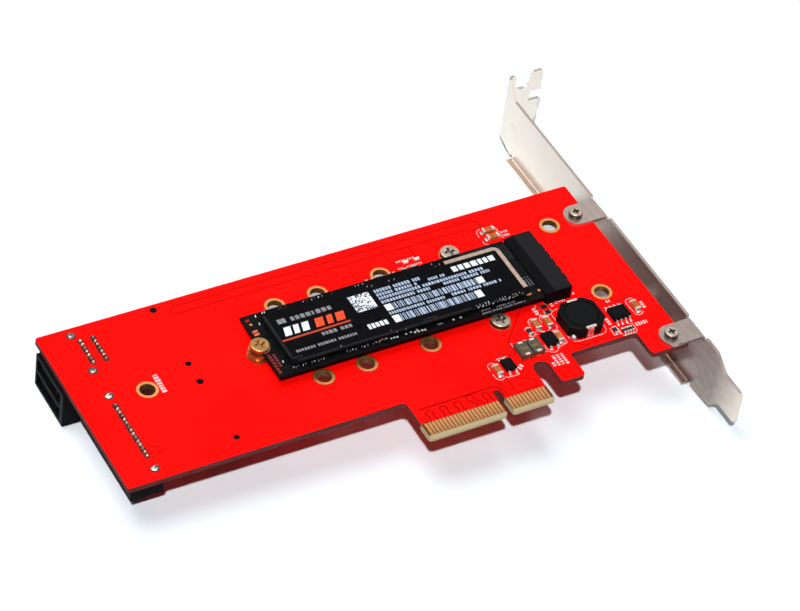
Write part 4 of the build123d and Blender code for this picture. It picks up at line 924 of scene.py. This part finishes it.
# Ticks, tin pads and fine print along the drive's front edge
TALL_HALF = 0.36
SHORT_HALF = 0.22
front_row = 31.4
ROW_STEP = 0.2
FRONT_TICKS = (-44.2, -43.6, -42.8, -41.6, -40.8, -39.2, -38.4, -37.4, -36.6, -35.9, -29.4, -28.6, -27.8,
               -27.0, -25.3, -24.6, -23.6, -22.2, -21.3, -20.6, -19.0)
for index, x in enumerate(FRONT_TICKS):
    half = TALL_HALF if index % 3 == 1 else SHORT_HALF
    y = front_row - ROW_STEP * (index % 2)
    material = GREY_INK if index % 3 else WHITE_INK
    marks.tick(x, y - half, y + half, (-0.2, 0), (0, 0.2), DRIVE, material)
for x, y in ((-18.3, 31.7), (-17.2, 31.2), (-16.3, 31.2), (-15.5, 31.1), (-13.0, 31.2), (-11.6, 31.3),
             (-10.6, 30.9), (-9.8, 31.4), (-9.6, 30.8), (-8.6, 30.8), (-7.8, 30.7), (0.5, 31.2),
             (2.6, 31.2)):
    marks.dome(x, y, DRIVE, 0.36, 0.3, TIN)
for box in ((-4.0, -2.6, 30.75, 31.45), (8.6, 11.6, 30.85, 31.55), (13.0, 18.6, 30.75, 31.45),
            (8.4, 21.0, 29.85, 30.55)):
    blocks(marks, box, DRIVE, GREY_INK, 0.3, 0.26, 5, 0.6)

# Columns of small pads and other pads near the socket, and joints along the back edge
COLUMNS = 3
COLUMN_STEP = 0.8
COLUMN_WIDTH = 0.34
column_first = 24.0
for column in range(COLUMNS):
    x = column_first + COLUMN_STEP * column
    blocks(marks, (x, x + COLUMN_WIDTH, 34.6, 38.2), DRIVE, GREY_INK, 0.3, 0.34, 4, MARK_FILL, upright=True)
    blocks(marks, (x, x + COLUMN_WIDTH, 45.0, 50.8), DRIVE, DIM_INK, 0.26, 0.4, 6, MARK_FILL, upright=True)
marks.plate(22.2, 23.6, 31.6, 32.8, DRIVE, PAD_COPPER, PAD_CORNER)
marks.prism(circle(26.1, 32.3, 0.45, PAD_SIDES), DRIVE, PAD_COPPER)
for x, y in ((-20.1, 31.5), (-19.4, 31.8)):
    marks.dome(x, y, DRIVE, 0.3, 0.3, PAD_COPPER)
BACK_ROW = 51.25
for x, y in ((-10.7, 51.0), (-9.7, 51.3), (-8.2, 51.1), (-7.9, 51.4), (-3.7, 51.3), (-1.0, 51.2),
             (1.4, 51.0), (2.1, 51.4), (5.0, 51.2), (6.4, 51.3)):
    marks.dome(x, y, DRIVE, 0.26, 0.3, PAD_COPPER if y > BACK_ROW else TIN)
MARK_INKS = [RED_DOT, PAD_COPPER, SALMON, RUSSET, WHITE_INK, GREY_INK, TIN, DIM_INK]
marks.build("drive_marks", MARK_INKS)

# Pale print on the card: outlines round the parts, and plain blocks in place of letters
SILK_WIDTH = 0.15
silk = Sheaf()
silk_paths = [
    [(29.2, 27.4), (28.0, 27.2)] + arc(28.2, 25.6, 1.6, 120, 180, 3) + [(26.6, 18.0)]
    + arc(28.8, 17.4, 2.2, 180, 270, 5) + [(35.2, 15.2)] + arc(35.2, 17.2, 2.0, -90, 0, 5) + [(37.2, 18.2)],
    [(39.2, 21.6), (39.2, 25.6)] + arc(38.2, 25.6, 1.0, 0, 50, 2),
    [(12.2, 20.9), (11.75, 20.9), (11.75, 15.3), (19.0, 15.2)],
    [(15.35, 16.6), (15.35, 15.2)],
    [(15.9, 20.6), (15.4, 20.9), (15.3, 20.4)],
    arc(18.5, 23.3, 1.15, 20, 160, 6), arc(18.4, 22.2, 1.1, 200, 320, 5),
    [(19.6, 24.6)] + arc(20.9, 25.5, 1.3, 180, 10, 7),
    [(22.85, 24.4)] + arc(24.2, 25.4, 1.35, 180, 5, 7), [(23.0, 21.6), (23.6, 21.0), (25.3, 21.0)],
    arc(25.0, 22.1, 0.9, -60, 30, 3),
    [(19.5, 17.4), (19.3, 15.0)] + arc(20.8, 15.6, 1.4, 210, 310, 5) + [(22.6, 15.3)],
    [(22.9, 16.2), (23.1, 15.5), (25.2, 15.9), (25.4, 16.8), (25.45, 20.9)],
    [(19.4, 22.6), (19.5, 21.2)], [(23.3, 21.6), (23.3, 20.9)],
    [(2.25, 14.6), (2.25, 15.3)] + arc(3.4, 15.7, 1.15, 190, 40, 6) + [(5.2, 15.9)],
    [(2.25, 13.4), (2.25, 12.2)] + arc(3.5, 12.0, 1.2, 180, 320, 6),
    [(4.9, 11.6), (5.1, 10.95), (8.4, 10.85), (8.7, 11.6)], [(5.4, 17.3), (6.0, 17.6), (9.2, 17.5)],
    [(38.05, 16.4), (37.95, 13.6), (39.8, 13.6), (39.85, 16.4)],
    [(40.0, 15.6), (39.9, 13.0), (40.4, 12.6), (43.6, 12.5)] + arc(43.4, 13.6, 1.0, -50, 20, 3)
    + [(44.4, 15.4), (43.8, 15.9)],
    [(40.5, 22.4), (40.5, 18.2)], [(45.2, 22.4), (45.2, 18.2)],
    [(46.9, 19.0), (46.75, 21.6)] + arc(47.9, 22.6, 1.15, 190, 90, 4) + [(49.3, 23.6)],
    [(46.9, 18.6)] + arc(48.1, 18.9, 1.3, 190, 340, 6),
    arc(25.1, 59.0, 1.5, 90, 180, 4) + [(23.5, 57.8)], [(23.6, 56.4)] + arc(25.0, 55.9, 1.4, 180, 250, 4),
    [(28.9, 60.3), (29.3, 59.6), (29.3, 55.4)], [(24.6, 30.2), (24.0, 30.2), (23.8, 26.4), (26.4, 26.3)],
    [(26.9, 30.2), (27.3, 29.6)], [(29.4, 29.8), (31.0, 29.5)],
]
for path in silk_paths:
    silk.ribbon(path, SILK_WIDTH, FACE)
BLOCK_FIELDS = [
    ((-76.0, -74.3, 38.4, 44.6), 0.68, True), ((22.7, 24.1, 27.4, 29.9), 0.56, True),
    ((31.0, 33.0, 29.1, 30.2), 0.4, False), ((28.0, 29.0, 28.6, 30.0), 0.4, True),
    ((42.1, 43.3, 24.4, 25.4), 0.4, False), ((38.3, 39.5, 17.3, 19.6), 0.56, True),
    ((45.0, 48.3, 14.2, 15.7), 0.496, False), ((49.9, 51.0, 19.4, 21.9), 0.56, True),
    ((17.8, 18.8, 9.9, 11.3), 0.48, True), ((19.0, 20.0, 9.8, 13.3), 0.56, True),
    ((20.2, 21.1, 9.7, 13.3), 0.56, True), ((21.4, 22.3, 9.5, 13.3), 0.56, True),
    ((29.7, 32.0, 57.0, 57.9), 0.4, False), ((29.8, 32.0, 55.7, 56.6), 0.4, False),
    ((-1.1, 1.6, 57.3, 58.0), 0.4, False), ((2.1, 4.0, 57.3, 58.0), 0.4, False),
    ((-1.8, -0.4, 54.9, 55.6), 0.32, False), ((0.8, 5.3, 54.9, 55.6), 0.32, False),
]
for box, unit, upright in BLOCK_FIELDS:
    blocks(silk, box, FACE, None, unit, 0.3, 12, 0.7, upright)

# Two leaning strokes
SWING = math.radians(25)
STROKE_HALF_WIDTH = 0.3
STROKE_HALF_LENGTH = 0.6
for x, y in ((9.6, 12.7), (10.4, 13.3)):
    outline = []
    for a, b in ((-1, -1), (1, -1), (1, 1), (-1, 1)):
        across = a * STROKE_HALF_WIDTH
        along = b * STROKE_HALF_LENGTH
        outline.append((x + across * math.cos(SWING) - along * math.sin(SWING),
                        y + across * math.sin(SWING) + along * math.cos(SWING)))
    silk.prism(outline, FACE)
silk.build("silk_marks", [SILK])

# Printed fields on the tops of the large capacitors
cap_low, cap_high = span("large_capacitors")
cap_middle = (cap_low.y + cap_high.y) / 2
cap_quarter = (cap_high.x - cap_low.x) / 4
DAB_SHIFT = 0.15
DAB_HALF_LENGTH = 0.95
DAB_HALF_WIDTH = 0.4
dabs = Sheaf()
for x in (cap_low.x + cap_quarter + DAB_SHIFT, cap_high.x - cap_quarter - DAB_SHIFT):
    box = (x - DAB_HALF_LENGTH, x + DAB_HALF_LENGTH, cap_middle - DAB_HALF_WIDTH,
           cap_middle + DAB_HALF_WIDTH)
    blocks(dabs, box, cap_high.z, None, 0.42, 0.12, 9, 0.8)
dabs.build("capacitor_marks", [OCHRE])

# Camera, solved from the photograph
FOCAL_PX = 3252.53
AZIMUTH = math.radians(35.184)
ELEVATION = math.radians(43.481)
ROLL = math.radians(9.287)
OFFSET_MM = Vector((-68.884, -45.344, 760.076))
FRAME_SHIFT_MM = Vector((-96.8, 13.1, 0))
CENTRE_OFFSET_PX = (22.94, -10.27)
IMAGE_WIDTH_PX = 800
SENSOR_MM = 36

forward = Vector((math.sin(AZIMUTH) * math.cos(ELEVATION), math.cos(AZIMUTH) * math.cos(ELEVATION),
                  -math.sin(ELEVATION)))
level_right = Vector((math.cos(AZIMUTH), -math.sin(AZIMUTH), 0))
level_up = level_right.cross(forward)
right = level_right * math.cos(ROLL) + level_up * math.sin(ROLL)
up = level_up * math.cos(ROLL) - level_right * math.sin(ROLL)
eye = -(right * OFFSET_MM.x + up * OFFSET_MM.y + forward * OFFSET_MM.z) + FRAME_SHIFT_MM
camera_data = bpy.data.cameras.new("camera")
camera_data.sensor_width = SENSOR_MM
camera_data.lens = FOCAL_PX * SENSOR_MM / IMAGE_WIDTH_PX
camera_data.shift_x = -CENTRE_OFFSET_PX[0] / IMAGE_WIDTH_PX
camera_data.shift_y = CENTRE_OFFSET_PX[1] / IMAGE_WIDTH_PX
camera_data.clip_start = 0.01
camera_data.clip_end = 20
camera = bpy.data.objects.new("camera", camera_data)
turn = Matrix((right, up, -forward)).transposed()
camera.matrix_world = Matrix.Translation(eye * MM) @ turn.to_4x4()
bpy.context.scene.collection.objects.link(camera)
bpy.context.scene.camera = camera

# Floor, under the bracket's lip and the data connector
FLOOR_DARK = (0.81, 0.88, 0.92, 1)
FLOOR_LIGHT = (0.83, 0.90, 0.94, 1)
FLOOR_TINT = (0.9, 0.88, 1, 1)
FLOOR_GLOW = 0.004
FLOOR_HALF = 2.5
FLOOR_GAP = 0.00002


def floor_material():
    """Pale floor that glows a little where the camera, a reflection or glass shows it."""
    made = Material("floor_white", Roughness=0.7, Specular_IOR_Level=0.1)
    grain = made.noise(60, 3.0)
    made.colour(made.blend(grain, FLOOR_DARK, FLOOR_LIGHT))
    rays = made.node("ShaderNodeLightPath")
    seen = made.math("ADD", rays.outputs["Is Camera Ray"], rays.outputs["Is Glossy Ray"])
    seen = made.math("MINIMUM", made.math("ADD", seen, rays.outputs["Is Transmission Ray"]), 1.0)
    made.put(made.shader.inputs["Emission Color"], FLOOR_TINT)
    made.put(made.shader.inputs["Emission Strength"], made.math("MULTIPLY", seen, FLOOR_GLOW))
    return made.material


slope = (data_low.z - bracket_low.z) / (bracket_high.x - data_low.x)
floor_points = []
for x, y in ((-1, -1), (1, -1), (1, 1), (-1, 1)):
    height = bracket_low.z * MM - slope * (x * FLOOR_HALF - nuts_high.x * MM) - FLOOR_GAP
    floor_points.append((x * FLOOR_HALF, y * FLOOR_HALF, height))
floor_mesh = bpy.data.meshes.new("floor")
floor_mesh.from_pydata(floor_points, [], [(0, 1, 2, 3)])
floor_mesh.materials.append(floor_material())
floor = bpy.data.objects.new("floor", floor_mesh)
bpy.context.scene.collection.objects.link(floor)


# Lamps: a small flash from the front left, and a broad soft one from behind
def sun(name, direction, spread, power):
    """A sun lamp that shines along a direction, with a given spread in degrees."""
    lamp = bpy.data.lights.new(name, "SUN")
    lamp.angle = math.radians(spread)
    lamp.energy = power
    holder = bpy.data.objects.new(name, lamp)
    holder.rotation_euler = Vector(direction).to_track_quat("-Z", "Y").to_euler()
    bpy.context.scene.collection.objects.link(holder)


FLASH_DIRECTION = (0.445, 0.56, -1.0)
FLASH_SPREAD = 2.0
FLASH_POWER = 2.95
SOFT_DIRECTION = (0.2, -0.3, -1.0)
SOFT_SPREAD = 40
SOFT_POWER = 1.62
sun("front", FLASH_DIRECTION, FLASH_SPREAD, FLASH_POWER)
sun("back", SOFT_DIRECTION, SOFT_SPREAD, SOFT_POWER)

# World: white to the camera and in reflections, and almost no light besides
AMBIENT = 0.01
world = bpy.data.worlds.new("studio")
world.use_nodes = True
tree = world.node_tree
backdrop = tree.nodes["Background"]
backdrop.inputs["Color"].default_value = (1, 1, 1, 1)
rays = tree.nodes.new("ShaderNodeLightPath")
add = tree.nodes.new("ShaderNodeMath")
add.operation = "MAXIMUM"
tree.links.new(rays.outputs["Is Camera Ray"], add.inputs[0])
tree.links.new(rays.outputs["Is Glossy Ray"], add.inputs[1])
strength = tree.nodes.new("ShaderNodeMapRange")
strength.inputs["To Min"].default_value = AMBIENT
strength.inputs["To Max"].default_value = 1.0
tree.links.new(add.outputs[0], strength.inputs["Value"])
tree.links.new(strength.outputs[0], backdrop.inputs["Strength"])
bpy.context.scene.world = world
bpy.context.scene.view_settings.view_transform = "Standard"
